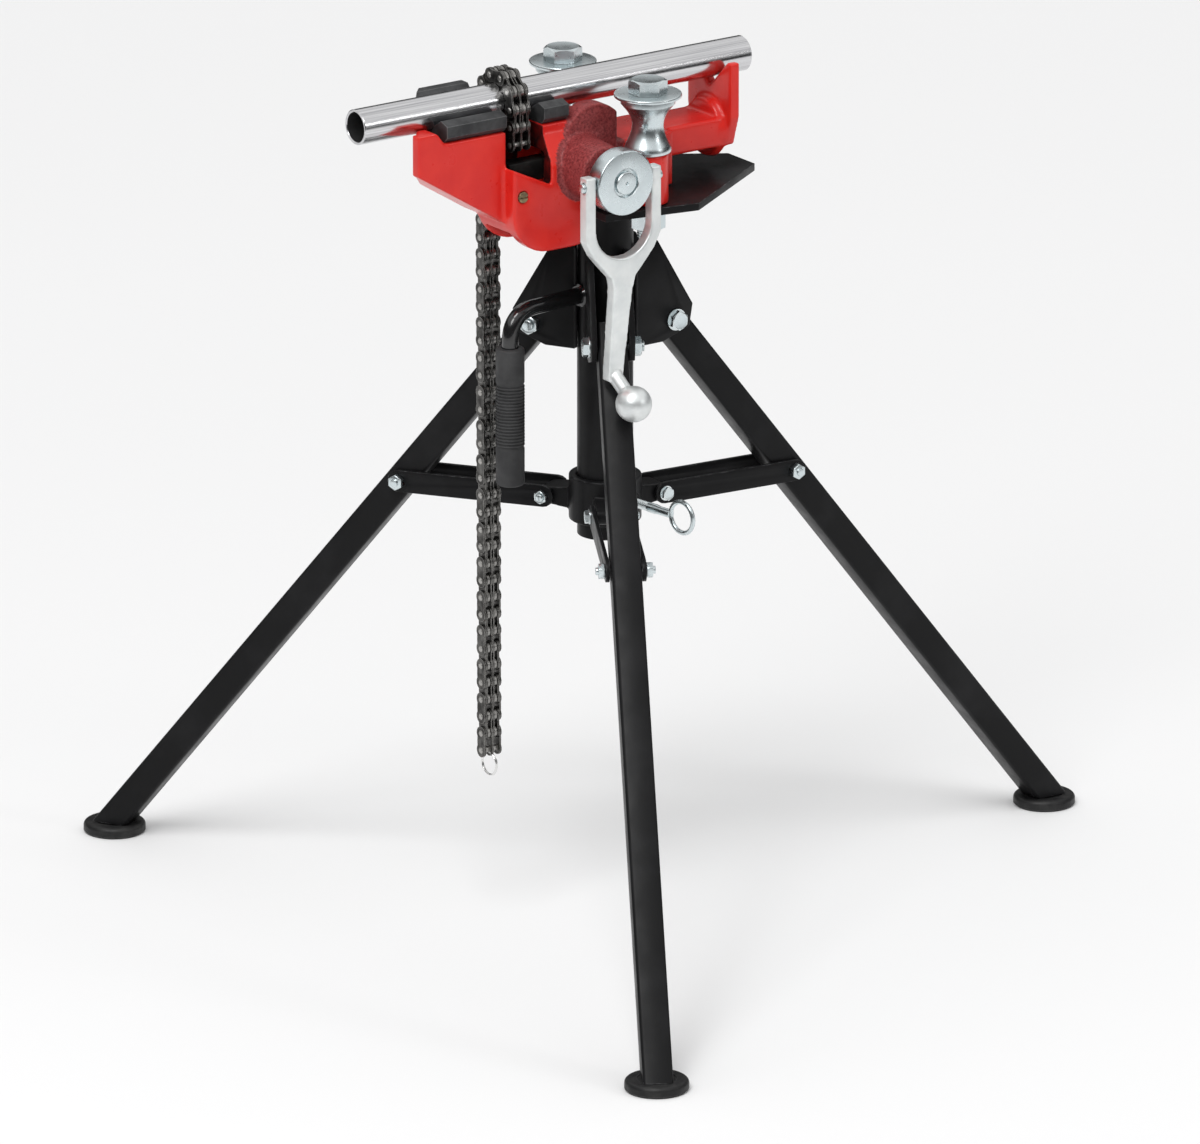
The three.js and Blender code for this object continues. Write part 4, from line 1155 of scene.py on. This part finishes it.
def chain_roller(x, low, high):
    """Short roller between two distances from the chain's middle."""
    chamfer = 0.6 * MM
    face = ROLLER_RADIUS - chamfer
    profile = [(0, low), (face, low), (ROLLER_RADIUS, low + chamfer)]
    profile += [(ROLLER_RADIUS, high - chamfer), (face, high), (0, high)]
    return turned(profile, (x, 0, 0), (0, 1, 0), 18)


def link_mesh(kind):
    """Outer link with its pins and middle leaf, or inner link with its leaves and rollers."""
    work = bmesh.new()
    for low, high in OUTER_LEAVES if kind == "outer" else INNER_LEAVES:
        link_plate(work, low * MM, high * MM)
    bmesh.ops.recalc_face_normals(work, faces=work.faces)
    plates = bpy.data.meshes.new("plates")
    work.to_mesh(plates)
    work.free()
    rounds = []
    for x in (-PITCH / 2, PITCH / 2):
        if kind == "outer":
            rounds.append(chain_pin(x))
        else:
            rounds += [chain_roller(x, low * MM, high * MM) for low, high in LINK_ROLLERS]
    mesh = joined(plates, *rounds)
    # marks the pin ends, and the rollers less, for painted highlights in the chain finish
    ends = mesh.attributes.new("pin_and_roller_glint", "FLOAT", "POINT")
    for vertex in mesh.vertices:
        across = abs(vertex.co.y)
        on_roller = kind == "inner" and 2.3 * MM < across < 6.4 * MM
        ends.data[vertex.index].value = 1 if across > 11 * MM else 0.7 * on_roller
    return mesh


def pins_over_pipe(top_pin):
    """Pin centres from the first free pin, up and over the pipe, into the front slot."""
    line = abs(top_pin.x)
    rise = pipe_centre.z - top_pin.z
    arc = math.pi * line
    total = rise + arc + pipe_centre.z - CHAIN_END
    steps = 400
    path = []
    for step in range(steps + 1):
        gone = total * step / steps
        if gone < rise:
            x, z = -line, top_pin.z + gone
        elif gone < rise + arc:
            x, above = on_circle(line, math.pi - (gone - rise) / line)
            z = pipe_centre.z + above
        else:
            x, z = line, pipe_centre.z - (gone - rise - arc)
        path.append(Vector((x, top_pin.y, z)))
    pins = [path[0]]
    for point in path:
        if (point - pins[-1]).length >= PITCH:
            pins.append(pins[-1] + (point - pins[-1]).normalized() * PITCH)
    return pins


def chain_piece(name, node, pins, tree, shapes):
    line = bpy.data.meshes.new("pin_line")
    line.from_pydata([tuple(pin) for pin in pins], [(i, i + 1) for i in range(len(pins) - 1)], [])
    values = {"Outer Link": shapes[0], "Inner Link": shapes[1], "Finish": FINISH["chain_steel"]}
    piece_from(name, grown(tree, line, values), [node], smooth=40)


def make_chain():
    """The clamping stretch over the pipe and the hanging stretches."""
    tree = chain_tree()
    shapes = [shape_object(f"{kind}_link", link_mesh(kind)) for kind in ("outer", "inner")]
    joints = frame["record"]["behaviour"]["joints"]
    hinges = [Vector(joint["pos_m"]) for joint in joints if joint["name"].startswith("chain_tail")]
    hinges.sort(key=lambda point: -point.z)
    for order, top in enumerate(hinges, 1):
        pins = [top - Vector((0, 0, PITCH * link)) for link in range(TAIL_LINKS + 1)]
        chain_piece(f"chain_run_{order}", f"chain_tail_{order}", pins, tree, shapes)
    chain_piece("chain_wrap", "chain_over_pipe", pins_over_pipe(hinges[0]), tree, shapes[::-1])
    for shape in shapes:
        bpy.data.objects.remove(shape)


# ---- workpiece ----


def make_pipe():
    """Bright tube with faced ends and a dark bore."""
    length = pipe_high.y - pipe_low.y
    bore, chamfer = PIPE_RADIUS - TUBE_WALL, 0.7 * MM
    profile = [
        (bore, chamfer), (bore + chamfer, 0), (PIPE_RADIUS - chamfer, 0), (PIPE_RADIUS, chamfer),
        (PIPE_RADIUS, length - chamfer), (PIPE_RADIUS - chamfer, length), (bore + chamfer, length),
        (bore, length - chamfer),
    ]
    mesh = turned(profile, (pipe_centre.x, pipe_low.y, pipe_centre.z), (0, 1, 0), 128, closed=True)
    mesh.materials.append(FINISH["pipe_chrome"])
    mesh.materials.append(BORE)
    for face in mesh.polygons:
        away = math.hypot(face.center.x - pipe_centre.x, face.center.z - pipe_centre.z)
        face.material_index = 1 if away < bore + 0.1 * MM else 0
    piece_from("bright_pipe", mesh, ["work_pipe"])


# ---- welds ----


def make_welds():
    """Fillet welds down the gussets and round the top of the column."""
    low, high = 630 * MM, 740 * MM
    steps, depth, half = 40, 1.5 * MM, 17.2 * MM
    out = math.sqrt(COLUMN_RADIUS ** 2 - half ** 2) + 0.5 * MM - depth
    beads = []
    for azimuth in LEGS.values():
        for side in (-1, 1):
            path = []
            for step in range(steps + 1):
                wave = 0.25 * MM * math.sin(step * 2.4)
                height = low + (high - low) * step / steps
                path.append(radial(azimuth, out + wave, side * 23.4 * MM, height))
            beads.append(tube(path, 2.1 * MM, 8))
    ring = []
    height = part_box("top_plate")[0][2] - 2.2 * MM
    for step in range(120):
        x, y = on_circle(COLUMN_RADIUS + MM + 0.25 * MM * math.sin(step * 2.1), math.tau * step / 120)
        ring.append(Vector((column.x + x, column.y + y, height)))
    beads.append(tube(ring, 2.2 * MM, 8, cyclic=True))
    shown("weld_beads", joined(*beads), "stand", "black_paint", smooth=80)


# ---- the whole scene ----


make_camera()
make_studio()
make_stand()
make_thumb_screw()
make_chain_ring()
make_base()
make_jaws()
make_anchor_screw()
for side in ("front", "back"):
    make_roller(side)
make_crank()
make_carry_handle()
make_chain()
make_pipe()
make_welds()
